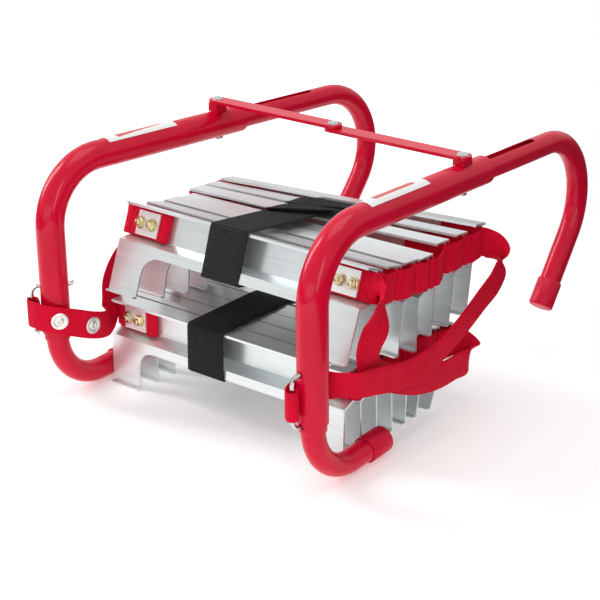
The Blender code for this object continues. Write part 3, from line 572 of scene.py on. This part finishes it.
def close_shell(bm, rings):
    """Skin a row of rings and fill the first and the last."""
    bridge(bm, rings)
    bm.faces.new(rings[0][::-1])
    bm.faces.new(rings[-1])


def moved(station, distance):
    u, v, angle = station
    return (u + distance * math.cos(angle), v + distance * math.sin(angle), angle)


def tube(bm, plane, stations, outer, inner, start_radius=None):
    """Sweep a hollow tube with slightly eased ends, and a collar at its start where start_radius is given."""
    first, last = stations[0], stations[-1]
    rings = [tube_ring(bm, plane, first, (start_radius or outer) - END_EASE)]
    rings.append(tube_ring(bm, plane, moved(first, END_EASE), start_radius or outer))
    if start_radius:
        rings.append(tube_ring(bm, plane, moved(first, COLLAR_LENGTH - 0.001), start_radius))
        rings.append(tube_ring(bm, plane, moved(first, COLLAR_LENGTH), outer))
    rings += [tube_ring(bm, plane, s, outer) for s in stations[1:-1]]
    rings.append(tube_ring(bm, plane, moved(last, -END_EASE), outer))
    rings.append(tube_ring(bm, plane, last, outer - END_EASE))
    rings += [tube_ring(bm, plane, s, inner) for s in stations[::-1]]
    bridge(bm, rings, closed=True)


def cap(bm, plane, stations):
    """A dipped sleeve over a tube's end, with a rounded closed end."""
    outer, inner = ARM_R + CAP_GAP + CAP_WALL, ARM_R + CAP_GAP
    end = moved(stations[-1], CAP_GAP + CAP_WALL)
    rings = [tube_ring(bm, plane, s, inner) for s in [moved(stations[-1], CAP_GAP)] + stations[::-1][1:]]
    rings.append(tube_ring(bm, plane, stations[0], outer - CAP_LIP))
    rings.append(tube_ring(bm, plane, moved(stations[0], CAP_LIP), outer))
    rings += [tube_ring(bm, plane, s, outer) for s in stations[1:-1]]
    for i in range(7):
        a = math.radians(15 * i)
        place = moved(end, -CAP_ROUND_R + CAP_ROUND_R * math.sin(a))
        rings.append(tube_ring(bm, plane, place, outer - CAP_ROUND_R + CAP_ROUND_R * math.cos(a)))
    close_shell(bm, rings)


def bar_height(u):
    """Height of the top run's axis, u away from the upright."""
    return UPRIGHT + math.tan(TOP_SLOPE) * (u - OUTER_BEND)


def cut_through(obj, bm):
    """Cut a shape out of an object and keep only the result."""
    bmesh.ops.recalc_face_normals(bm, faces=bm.faces)
    mesh = bpy.data.meshes.new("cutter")
    bm.to_mesh(mesh)
    bm.free()
    cutter = bpy.data.objects.new("cutter", mesh)
    bpy.context.scene.collection.objects.link(cutter)
    boolean = obj.modifiers.new("cut", "BOOLEAN")
    boolean.operation = "DIFFERENCE"
    boolean.solver = "EXACT"
    boolean.object = cutter
    graph = bpy.context.evaluated_depsgraph_get()
    result = bpy.data.meshes.new_from_object(obj.evaluated_get(graph))
    obj.modifiers.clear()
    obj.data = result
    obj.data.shade_smooth()
    obj.data.set_sharp_from_angle(angle=math.radians(30))
    bpy.data.objects.remove(cutter)


def stadium(plane, start, end):
    """Cutter for the slot along the sliding arm: straight sides and round ends."""
    half = SLOT_WIDTH / 2
    bm = bmesh.new()
    rings = []
    for lift in (-0.02, 0.02):
        ring = []
        for centre, first in ((end - half, -90), (start + half, 90)):
            for i in range(13):
                a = math.radians(first + 15 * i)
                u = centre + half * math.cos(a)
                middle = plane.at(u, bar_height(u) + lift)
                ring.append(bm.verts.new(middle + plane.across * half * math.sin(a)))
        rings.append(ring)
    close_shell(bm, rings)
    return bm


def ring_hole(plane, side, height):
    """Cutter for a strap ring's hole, level and in the direction that the ring stands out."""
    out = Vector(RING_HEADINGS[side]).normalized()
    other = out.cross(Vector((0, 0, 1)))
    bm = bmesh.new()
    rings = []
    for reach in (-0.03, 0.03):
        ring = []
        for i in range(16):
            a = math.tau * i / 16
            spoke = other * math.cos(a) + Vector((0, 0, 1)) * math.sin(a)
            ring.append(bm.verts.new(plane.at(0, height) + out * reach + spoke * RING_HOLE_R))
        rings.append(ring)
    close_shell(bm, rings)
    return bm


def hook(side, plane, foot_plane, arm, bar_end):
    """One hook: outer tube, sliding arm, foot tube and their two caps."""
    body, arm_body = side + "_hook", side + "_arm"
    top = TOP_SLOPE - math.pi / 2
    reach = (bar_end - OUTER_BEND) / math.cos(TOP_SLOPE)
    stations = walk((0, -COLLAR_LENGTH), math.pi / 2, [
        ("run", COLLAR_LENGTH), ("run", UPRIGHT - OUTER_BEND), ("arc", OUTER_BEND, top), ("run", reach)])
    bm = bmesh.new()
    tube(bm, plane, stations, TUBE_R, TUBE_BORE_R, COLLAR_R)
    outer = add_object(side + "_outer_tube_painted", bm, PAINT, body, 30)
    cut_through(outer, ring_hole(plane, side, RING_TOP))
    cut_through(outer, ring_hole(plane, side, RING_BOTTOM))
    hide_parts(side + "_outer_tube")

    front, bend = arm
    stations = walk((front, bar_height(front)), TOP_SLOPE, [
        ("run", (bend - front) / math.cos(TOP_SLOPE)), ("arc", ARM_BEND, -ARM_TURN), ("run", ARM_DROP)])
    bm = bmesh.new()
    tube(bm, plane, stations, ARM_R, ARM_R - ARM_WALL)
    sliding = add_object(side + "_sliding_arm_painted", bm, PAINT, arm_body, 30)
    cut_through(sliding, stadium(plane, front + SLOT_FROM_END, front + SLOT_FROM_END + SLOT_LENGTH))
    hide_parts(side + "_sliding_arm")
    bm = bmesh.new()
    cap(bm, plane, [moved(stations[-1], -CAP_LENGTH), stations[-1]])
    piece = add_object(side + "_tip_cap_dipped", bm, VINYL, arm_body, 50)
    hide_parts(side + "_tip_cap")

    stations = walk((0, FOOT_INSERT), -math.pi / 2, [
        ("run", FOOT_INSERT + 0.005), ("arc", FOOT_BEND, FOOT_TURN), ("run", FOOT_RUN)])
    bm = bmesh.new()
    tube(bm, foot_plane, stations, ARM_R, ARM_R - ARM_WALL)
    foot = add_object(side + "_foot_tube_painted", bm, PAINT, body, 30)
    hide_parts(side + "_foot_tube")
    bm = bmesh.new()
    cap(bm, foot_plane, [moved(stations[-1], -CAP_LENGTH), stations[-1]])
    piece = add_object(side + "_foot_cap_dipped", bm, VINYL, body, 50)
    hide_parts(side + "_foot_cap")


left_plane = HookPlane(0, LEFT_HOOK_Y, LEFT_HOOK_YAW)
right_plane = HookPlane(HOOK_SPAN, 0)
hook("left", left_plane, HookPlane(0, LEFT_HOOK_Y), LEFT_ARM, OUTER_REACH - LEFT_HOOK_Y)
hook("right", right_plane, right_plane, RIGHT_ARM, OUTER_REACH)


# ---------------------------------------------------------------- clamp nuts

PLATE_FACE = 0.0066
NUT_SPACING = 0.0135
NUT_FROM_END = 0.022


def lathe(bm, base, axis, spin, profile, sides):
    """Turn (radius, height) points about an axis; spin is the first spoke's direction."""
    other = axis.cross(spin)
    rings = []
    for radius, height in profile:
        ring = []
        for i in range(sides):
            a = math.tau * i / sides
            spoke = (spin * math.cos(a) + other * math.sin(a)) * radius
            ring.append(bm.verts.new(base + axis * height + spoke))
        rings.append(ring)
    close_shell(bm, rings)


def clamp_nut(row_name, spec, side, number, shift):
    """Washer, hexagonal flange nut and rounded screw end."""
    place = Matrix.Translation(SHIFT) @ rung_matrix(spec)
    sign = 1 if side == "left" else -1
    end = 0 if side == "left" else RUNG_LENGTH
    base = place @ Vector((end + sign * NUT_FROM_END + shift, PLATE_FACE - 0.0002, -WEBBING_DEPTH))
    turn = place.to_3x3()
    axis = turn @ Vector((0, -1, 0))
    lean = 0.3 + 0.7 * number + (0.4 if side == "left" else 0.0)
    spin = turn @ Vector((math.cos(lean), 0, math.sin(lean)))
    bm = bmesh.new()
    lathe(bm, base, axis, spin, [(0.0040, 0), (0.0054, 0.00005), (0.0055, 0.0003), (0.0054, 0.0009),
                                 (0.0042, 0.0010)], 32)
    lathe(bm, base, axis, spin, [(0.0044, 0.0009), (0.0047, 0.0012), (0.0047, 0.0038), (0.0042, 0.0044),
                                 (0.0030, 0.0044)], 6)
    lathe(bm, base, axis, spin, [(0.0025, 0.0040), (0.0025, 0.0056), (0.0022, 0.0061), (0.0012, 0.0063)], 20)
    nut = add_object("%s_%s_hex_nut_%d" % (row_name, side, number), bm, ZINC, "left_hook", 28)
    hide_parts("%s_%s_clamp_nut_%d" % (row_name, side, number))


for row_name, spec in (("upper", UPPER_ROW[0]), ("lower", LOWER_ROW[0])):
    for side in ("left", "right"):
        for number, shift in enumerate((-NUT_SPACING / 2, NUT_SPACING / 2), 1):
            clamp_nut(row_name, spec, side, number, shift)


# ---------------------------------------------------------------- webbing


def pleats(name, row, side):
    """Webbing at one end of a row: clamped at each rung, and folded flat and deep between the rungs."""
    stations = []
    swell = 0.0006
    for i, spec in enumerate(row):
        first, last = i == 0, i == len(row) - 1

        def at(inset, depth, spec=spec):
            stations.append(strap_point(spec, side, inset, depth))

        tuck = FRONT_TUCK if first else TUCK
        middle = (FRONT_LAYER + REAR_LAYER) / 2
        at(PLEAT_END if first else -0.0005, FRONT_LAYER)
        if first:
            at(0.034, FRONT_LAYER)
            at(0.0375, FRONT_LAYER - 0.0012)
            at(0.0415, FRONT_LAYER - 0.0026)
            at(0.0450, FRONT_LAYER - 0.0020)
            at(tuck, FRONT_LAYER)
            at(tuck - 0.0006, REAR_LAYER - 0.0007)
            at(tuck - 0.0030, REAR_LAYER)
        else:
            at(tuck, FRONT_LAYER)
            at(tuck + 0.0010, middle)
            at(tuck, REAR_LAYER)
        if last:
            at(PLEAT_END, REAR_LAYER)
            break
        fold = (REAR_LAYER + FOLD_NEAR) / 2
        at(0.0005, REAR_LAYER)
        at(-0.0024 - swell, REAR_LAYER + 0.0006)
        at(-0.0040 - swell, fold)
        at(-0.0024 - swell, FOLD_NEAR - 0.0006)
        at(0.0010, FOLD_NEAR)
        reach = FOLD_BESIDE_BAND if row is UPPER_ROW and i == BANDED_RUNGS - 1 else FOLD_REACH
        at(reach, FOLD_NEAR)
        at(reach + 0.0012, (FOLD_NEAR + FOLD_FAR) / 2)
        at(reach, FOLD_FAR)
        at(0.0010, FOLD_FAR)
        after = row[i + 1]
        far = strap_point(spec, side, -0.0022 - swell, FOLD_FAR + 0.0008)
        near = strap_point(after, side, -0.0022 - swell, FRONT_LAYER - 0.0010)
        bulge_a = strap_point(spec, side, -0.0042 - swell, FOLD_FAR + 0.0008)
        bulge_b = strap_point(after, side, -0.0042 - swell, FRONT_LAYER - 0.0010)
        stations.append(far)
        stations.append(((bulge_a[0] + bulge_b[0]) / 2, (bulge_a[1] + bulge_b[1]) / 2))
        stations.append(near)
    obj = ribbon(name, refine(stations), RED_WEBBING)
    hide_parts(name.replace("_pleats", ""))


def refine(stations):
    """Smooth the short bends of a folded strap and leave its long flat runs straight."""
    result = []
    count = len(stations)
    for i in range(count - 1):
        here, there = stations[i], stations[i + 1]
        gap = (there[0] - here[0]).length
        if gap > 0.012:
            result += [here, (here[0].lerp(there[0], 0.5), here[1].lerp(there[1], 0.5))]
            continue
        quad = [stations[min(max(i + k, 0), count - 1)] for k in (-1, 0, 1, 2)]
        spans = [(quad[k + 1][0] - quad[k][0]).length for k in range(3)]
        for s in range(4):
            result.append(tuple(blend_quad([q[k] for q in quad], spans, s / 4) for k in (0, 1)))
    result.append(stations[-1])
    return result


def free_strap(name, start, route, end):
    """A strap along its route, from a joint on one rung, or from a loop, to a joint on another."""
    middle = smooth(start[1:] + route + end[:1], STRAP_STEPS)
    obj = ribbon(name, start[:1] + middle + end[1:], RED_WEBBING)
    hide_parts(name.replace("_web", ""))


LEFT_HOOK_ROUTE = millimetres([
    (-3.5, -10.5, 19.0, 0, 0, 1), (-8.6, -6.9, 19.5, 0, 0, 1), (-13.5, -5.2, 20, 0, 0, 1),
    (-17.9, -9.4, 20, 0, 0, 1), (-14.0, -14.3, 20, 0, 0, 1), (-6.0, -15.2, 20, 0, 0, 1),
    (3.0, -13.4, 19, 0, 0, 1), (13.8, -4.0, 15.8, 0, 0, 1), (19, 10, 10.5, 0, 0.2, 1),
    (23.4, 25.8, 4.4, 0, 0.2, 1), (22.5, 42, -0.5, 0, 0.1, 1), (17, 53, -2, 0, -0.2, 1),
    (10.5, 61, 1.5, 0, -0.7, 0.7), (7.5, 67, 13, 0, -1, 0.3), (6.5, 70, 30, 0, -1, 0.2),
    (9, 82, 50, 0, -0.8, 0.5), (18, 115, 67, 0, -0.45, 0.9), (24.5, 158, 78, 0, -0.2, 1),
    (25, 188, 81, 0, 0, 1), (25.2, 199, 82.3, 0, 0.1, 1)])
RIGHT_HOOK_ROUTE = millimetres([
    (283.2, -14.6, 20, 0, 0, -1), (287.2, -14.7, 20, 0, 0, -1), (291.3, -17.6, 20, 0, 0, -1),
    (290.6, -22.2, 20, 0, 0, -1), (286.2, -23.9, 20, 0, 0, -1), (281.5, -20.5, 20, 0, 0, -1),
    (276.2, -8, 20.5, 0, 0, -1), (275.6, 6, 21.5, 0, 0, -1), (283.5, 17.4, 23.5, 0, 0, -1),
    (297.0, 19.5, 26.0, -0.2, 0.1, -0.97), (307.5, 32, 24, -0.15, 0.3, -0.95),
    (311.3, 58.9, 18.8, -0.1, 0.1, -0.99), (311.5, 102.4, 10.3, -0.05, 0.15, -0.98),
    (313, 135, 12.5, -0.1, 0.3, -0.95), (314, 169.9, 24.1, -0.1, 0.42, -0.9),
    (315, 205.5, 42, -0.05, 0.44, -0.89), (315, 230, 55, 0, 0.44, -0.9),
    (312.5, 241, 65, 0, 0.3, -0.95), (303, 239, 79.5, 0, -0.12, -1)])
LEFT_TRANSFER_ROUTE = millimetres([
    (33, 66.5, 96, 0, 0.36, 0.93), (32.2, 70.5, 95, 0, 0.38, 0.92), (31.5, 80, 89, 0, 0.45, 0.88),
    (30, 105, 63, 0, 0.5, 0.8), (24, 135, 42, 0, 0.5, 0.8), (9, 163, 25, 0, 0.5, 0.8),
    (4, 184, 5, 0, 0.6, 0.8), (4.5, 200, -7, 0, 0.4, 0.9)])
RIGHT_TRANSFER_ROUTE = millimetres([
    (312.3, 59.5, 93.8, -0.35, 0.2, -0.85), (313.4, 58, 84, -0.35, 0.93, -0.15),
    (312.5, 54.6, 65, 0.35, 0.93, -0.1), (309.5, 50.0, 49.8, 0.3, 0.95, 0),
    (307.5, 52.6, 34, 0.05, 0.98, 0.05),
    (305, 65.7, 20.5, -0.08, 0.96, 0.25), (300, 86.7, 9.0, -0.26, 0.8, 0.5),
    (298, 117.1, -5.5, -0.2, 0.5, 0.8), (296, 150.1, -18.3, 0, 0.3, 0.95),
    (294, 177.8, -24.4, 0, 0.2, 0.98), (292, 205, -26.5, 0, 0.1, 1), (290, 228, -27, 0, 0.2, 1),
    (285.5, 234, -22, 0, 0.4, 0.9), (281.5, 230, -16, 0, 0.5, 0.88)])

for row_name, row in (("upper", UPPER_ROW), ("lower", LOWER_ROW)):
    for side in ("left", "right"):
        pleats("%s_webbing_%s_pleats" % (row_name, side), row, side)
free_strap("left_hook_strap_web", [],
           LEFT_HOOK_ROUTE, strap_joint(UPPER_ROW[-1], "left", REAR_LAYER))
free_strap("right_hook_strap_web", [],
           RIGHT_HOOK_ROUTE, strap_joint(UPPER_ROW[-1], "right", REAR_LAYER, True))
free_strap("left_transfer_strap_web", strap_joint(UPPER_ROW[0], "left", FRONT_LAYER)[::-1],
           LEFT_TRANSFER_ROUTE, strap_joint(LOWER_ROW[-1], "left", REAR_LAYER))
free_strap("right_transfer_strap_web", strap_joint(UPPER_ROW[0], "right", FRONT_LAYER, True)[::-1],
           RIGHT_TRANSFER_ROUTE, strap_joint(LOWER_ROW[-1], "right", REAR_LAYER))


# ---------------------------------------------------------------- black binding straps


BAND_THICKNESS = 0.0018
BAND_WALL_REACH = 0.0045
CORNER_EASE = 0.0022
TAIL_THICKNESS = 0.0014


def band_loop(node):
    """The corners on a CAD binding strap's left edge, sorted round their centre, and its two edges' x."""
    points = [v.co.copy() for v in NODES[node].data.vertices]
    low_x = min(p.x for p in points)
    high_x = max(p.x for p in points)
    side = [p for p in points if p.x < low_x + 0.001]
    centre = sum(side, Vector()) / len(side)
    side.sort(key=lambda p: math.atan2(p.z - centre.z, p.y - centre.y))
    merged = []
    for p in side:
        if not merged or (p - merged[-1]).length > 1e-6:
            merged.append(p)
    return merged, centre, low_x, high_x


def black_band(name, node):
    """A binding strap along the middle of its CAD solid's wall, with its corners eased."""
    points, centre, low_x, high_x = band_loop(node)
    outer, used = [], set()
    for i, p in enumerate(points):
        if i in used:
            continue
        free = [j for j in range(len(points)) if j != i and j not in used]
        mates = [j for j in free if (points[j] - p).length < BAND_WALL_REACH]
        if not mates:
            continue
        j = min(mates, key=lambda k: (points[k] - p).length)
        used.update((i, j))
        outer.append((p + points[j]) / 2)
    outer.sort(key=lambda p: math.atan2(p.z - centre.z, p.y - centre.y))
    middle_x = (low_x + high_x) / 2
    stations = []
    count = len(outer)
    for i, p in enumerate(outer):
        before, after = outer[i - 1], outer[(i + 1) % count]
        for other, sign in ((before, -1), (after, 1)):
            step = min(CORNER_EASE, (other - p).length * 0.3)
            q = p + (other - p).normalized() * step
            stations.append((Vector((middle_x, q.y, q.z)), Vector((1, 0, 0))))
    stations = [(p - SHIFT, w) for p, w in stations]
    width = high_x - low_x
    obj = ribbon(name, stations, BLACK_WEBBING, width, BAND_THICKNESS, closed=True)
    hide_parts(node)


black_band("upper_black_strap_band", "upper_black_strap")
black_band("lower_black_strap_band", "lower_black_strap")


def tail(name, rows, width):
    """A loose end of the binding strap, lying on the upper rungs."""
    ribbon(name, smooth(millimetres(rows), 6), BLACK_WEBBING, width, TAIL_THICKNESS)


tail("upper_black_strap_tail_over", [
    (141, 157, 108.0, -0.57, 0.73, -0.30), (152, 164, 109.0, -0.52, 0.84, 0.05),
    (165, 171, 108.5, -0.50, 0.86, 0.05), (180, 179, 107.0, -0.54, 0.80, -0.10),
    (196, 186, 104.5, -0.57, 0.73, -0.30)], 0.018)
tail("upper_black_strap_tail_under", [
    (139, 133, 108.8, -0.57, 0.73, -0.33), (151, 140, 110.6, -0.52, 0.85, -0.1),
    (165, 149, 110.2, -0.50, 0.86, -0.1), (179, 160, 108.6, -0.54, 0.80, -0.20),
    (196, 172, 106.6, -0.57, 0.73, -0.30)], 0.016)


# ---------------------------------------------------------------- snap fasteners


def snap(node, index):
    """Pressed cap with a rolled rim, a dished ring and a small open centre."""
    before, here, after = (LEFT_HOOK_ROUTE[index + k][0] for k in (-1, 0, 1))
    tangent = (after - before).normalized()
    normal = tangent.cross(LEFT_HOOK_ROUTE[index][1]).normalized()
    base = here + normal * (WEBBING_THICKNESS / 2 + 0.0001) + SHIFT
    bm = bmesh.new()
    r = SNAP_R
    lathe(bm, base, normal, tangent, [
        (r * 0.97, 0), (r, 0.0003), (r, 0.0008), (r * 0.95, 0.0012), (r * 0.84, 0.0014), (r * 0.68, 0.0013),
        (r * 0.60, 0.0008), (r * 0.52, 0.0008), (r * 0.46, 0.0014), (r * 0.34, 0.0019), (r * 0.26, 0.0019),
        (r * 0.21, 0.0015), (r * 0.19, 0.0001), (r * 0.08, 0.0001)], 40)
    cap_piece = add_object(node + "_ring", bm, SNAP, "left_hook", 35)
    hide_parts(node)


snap("snap_cap_1", 7)
snap("snap_cap_2", 9)


# ---------------------------------------------------------------- stitching

STITCH_LENGTH = 0.0019
STITCH_PITCH = 0.0027
STITCH_R = 0.00032
STITCH_COUNT = 8
STITCH_RINGS = ((-0.5, 0.4, -0.5), (-0.35, 0.9, 0.0), (0.0, 1.0, 0.25), (0.35, 0.9, 0.0), (0.5, 0.4, -0.5))
PATH_STEPS = 40


def stitch(bm, middle, along, out):
    """One thread pass: a short rod that dips into the strap at both ends."""
    side = along.cross(out)
    rings = []
    for place, size, lift in STITCH_RINGS:
        centre = middle + along * place * STITCH_LENGTH + out * lift * STITCH_R
        ring = []
        for i in range(6):
            a = math.tau * i / 6
            ring.append(bm.verts.new(centre + (side * math.cos(a) + out * math.sin(a)) * size * STITCH_R))
        rings.append(ring)
    close_shell(bm, rings)


def stitching(name, route, index, fractions):
    """Rows of stitches across a strap's outer face, at fractions of the way past one point of its route."""
    bm = bmesh.new()
    path = smooth(route, PATH_STEPS)
    for fraction in fractions:
        here = index * PATH_STEPS + round(fraction * PATH_STEPS)
        point, wide = path[here][0], path[here][1].normalized()
        tangent = (path[here + 1][0] - path[here - 1][0]).normalized()
        out = tangent.cross(wide).normalized()
        surface = point + out * WEBBING_THICKNESS / 2 + SHIFT
        for k in range(STITCH_COUNT):
            offset = (k - (STITCH_COUNT - 1) / 2) * STITCH_PITCH
            stitch(bm, surface + wide * offset, wide, out)
    add_object(name, bm, RED_THREAD, "left_hook", 60)


stitching("left_hook_strap_stitches", LEFT_HOOK_ROUTE, 4, (0.05, 0.3, 0.75, 1.0))
stitching("right_hook_strap_stitches", RIGHT_HOOK_ROUTE, 4, (0.1, 0.5, 0.9))


# ---------------------------------------------------------------- stage, light, camera

CAMERA_BACK = Vector((0.5773, -0.7244, 0.3766))
FLOOR_LEFT = 0.80
FLOOR_RIGHT = 0.25
FLOOR_NEAR = -2.0
FLOOR_FAR = 5.0
FLOOR_BELOW = 0.0002
GLOW_START = 0.55
GLOW_RISE = 1.6
GLOW_NEAR = 0.26
GLOW_FAR = 1.0
DIFFUSE_SHARE = 0.45
SKY = ((0.0, 0.10), (0.50, 0.10), (0.53, 0.55), (0.62, 0.98), (1.0, 0.88))
CAMERA_RIGHT = Vector((0.7839, 0.6208, -0.0076))
CAMERA_UP = Vector((-0.2283, 0.2996, 0.9263))
CAMERA_PLACE = Vector((0.9839, -0.8831, 0.5590))


def stage():
    """A strip of pale paper, wider on the left, that glows more with distance so that it fades to white."""
    away = Vector((-CAMERA_BACK.x, -CAMERA_BACK.y, 0)).normalized()
    right = away.cross(Vector((0, 0, 1)))
    bm = bmesh.new()
    corners = [(-FLOOR_LEFT, FLOOR_NEAR), (FLOOR_RIGHT, FLOOR_NEAR),
               (FLOOR_RIGHT, FLOOR_FAR), (-FLOOR_LEFT, FLOOR_FAR)]
    bm.faces.new([bm.verts.new(right * a + away * b) for a, b in corners])
    bmesh.ops.subdivide_edges(bm, edges=bm.edges[:], cuts=6, use_grid_fill=True)
    mesh = bpy.data.meshes.new("floor")
    bm.to_mesh(mesh)
    bm.free()
    floor = bpy.data.objects.new("floor", mesh)
    floor.location.z = -FLOOR_BELOW
    bpy.context.scene.collection.objects.link(floor)
    look = Shader("scene_floor", (0.92, 0.92, 0.92), 0.75)
    look.set("Specular IOR Level", 0.1)
    look.set("Emission Color", (1, 1, 1, 1))
    distance = look.node("ShaderNodeVectorMath", {"operation": "LENGTH"}, i0=look.position()).outputs["Value"]
    far = look.math("MULTIPLY", look.math("SUBTRACT", distance, GLOW_START), GLOW_RISE)
    glow = look.node("ShaderNodeClamp", Value=far).outputs["Result"]
    look.link(look.spread(glow, GLOW_NEAR, GLOW_FAR), "Emission Strength")
    paper = look.ramp(look.noise(3, 2), [(0.3, (0.91, 0.91, 0.91)), (0.7, (0.93, 0.93, 0.93))])
    look.link(paper, "Base Color")
    mesh.materials.append(look.material)


def area_light(name, place, target, size, power, size_y=None):
    """A rectangular lamp aimed at a point."""
    data = bpy.data.lights.new(name, "AREA")
    data.shape = "RECTANGLE"
    data.size = size
    data.size_y = size_y or size
    data.energy = power
    lamp = bpy.data.objects.new(name, data)
    bpy.context.scene.collection.objects.link(lamp)
    lamp.location = place
    lamp.rotation_euler = (Vector(target) - Vector(place)).to_track_quat("-Z", "Y").to_euler()


def world_light():
    """Bright overhead, dim below the horizon, plain white to the camera, and weaker as diffuse light."""
    world = bpy.data.worlds.new("studio")
    bpy.context.scene.world = world
    world.use_nodes = True
    tree = world.node_tree
    background = tree.nodes["Background"]
    place = tree.nodes.new("ShaderNodeTexCoord")
    split = tree.nodes.new("ShaderNodeSeparateXYZ")
    tree.links.new(place.outputs["Generated"], split.inputs[0])
    lift = tree.nodes.new("ShaderNodeMapRange")
    tree.links.new(split.outputs["Z"], lift.inputs["Value"])
    lift.inputs["From Min"].default_value = -1
    lift.inputs["From Max"].default_value = 1
    ramp = tree.nodes.new("ShaderNodeValToRGB")
    tree.links.new(lift.outputs["Result"], ramp.inputs["Fac"])
    while len(ramp.color_ramp.elements) < len(SKY):
        ramp.color_ramp.elements.new(0.5)
    for element, (where, level) in zip(ramp.color_ramp.elements, SKY):
        element.position = where
        element.color = (level, level, level, 1)
    rays = tree.nodes.new("ShaderNodeLightPath")
    mix = tree.nodes.new("ShaderNodeMix")
    mix.data_type = "RGBA"
    tree.links.new(rays.outputs["Is Camera Ray"], mix.inputs[0])
    tree.links.new(ramp.outputs["Color"], mix.inputs[6])
    mix.inputs[7].default_value = (1, 1, 1, 1)
    tree.links.new(mix.outputs[2], background.inputs["Color"])
    dim = tree.nodes.new("ShaderNodeMapRange")
    tree.links.new(rays.outputs["Is Diffuse Ray"], dim.inputs["Value"])
    dim.inputs["To Min"].default_value = 1.0
    dim.inputs["To Max"].default_value = DIFFUSE_SHARE
    tree.links.new(dim.outputs["Result"], background.inputs["Strength"])


def camera():
    """A long lens, at the place and angle that the object is seen from."""
    data = bpy.data.cameras.new("camera")
    data.lens = 96
    data.sensor_width = 36
    data.clip_end = 50
    cam = bpy.data.objects.new("camera", data)
    bpy.context.scene.collection.objects.link(cam)
    turn = Matrix((CAMERA_RIGHT, CAMERA_UP, CAMERA_BACK)).transposed().to_4x4()
    cam.matrix_world = Matrix.Translation(CAMERA_PLACE + SHIFT) @ turn
    bpy.context.scene.camera = cam


stage()
area_light("key", (-1.6, -0.55, 1.15), (0, 0, 0.12), 0.5, 21, 1.4)
area_light("fill", (0.3, -1.7, 0.35), (0, 0, 0.08), 1.6, 3.5, 0.5)
area_light("top", (0.1, 0.1, 1.8), (0, 0, 0.1), 1.2, 10)
area_light("side", (1.5, -1.1, 0.8), (0, 0, 0.1), 0.35, 5, 1.2)
world_light()
camera()
bpy.context.scene.view_settings.view_transform = "Standard"
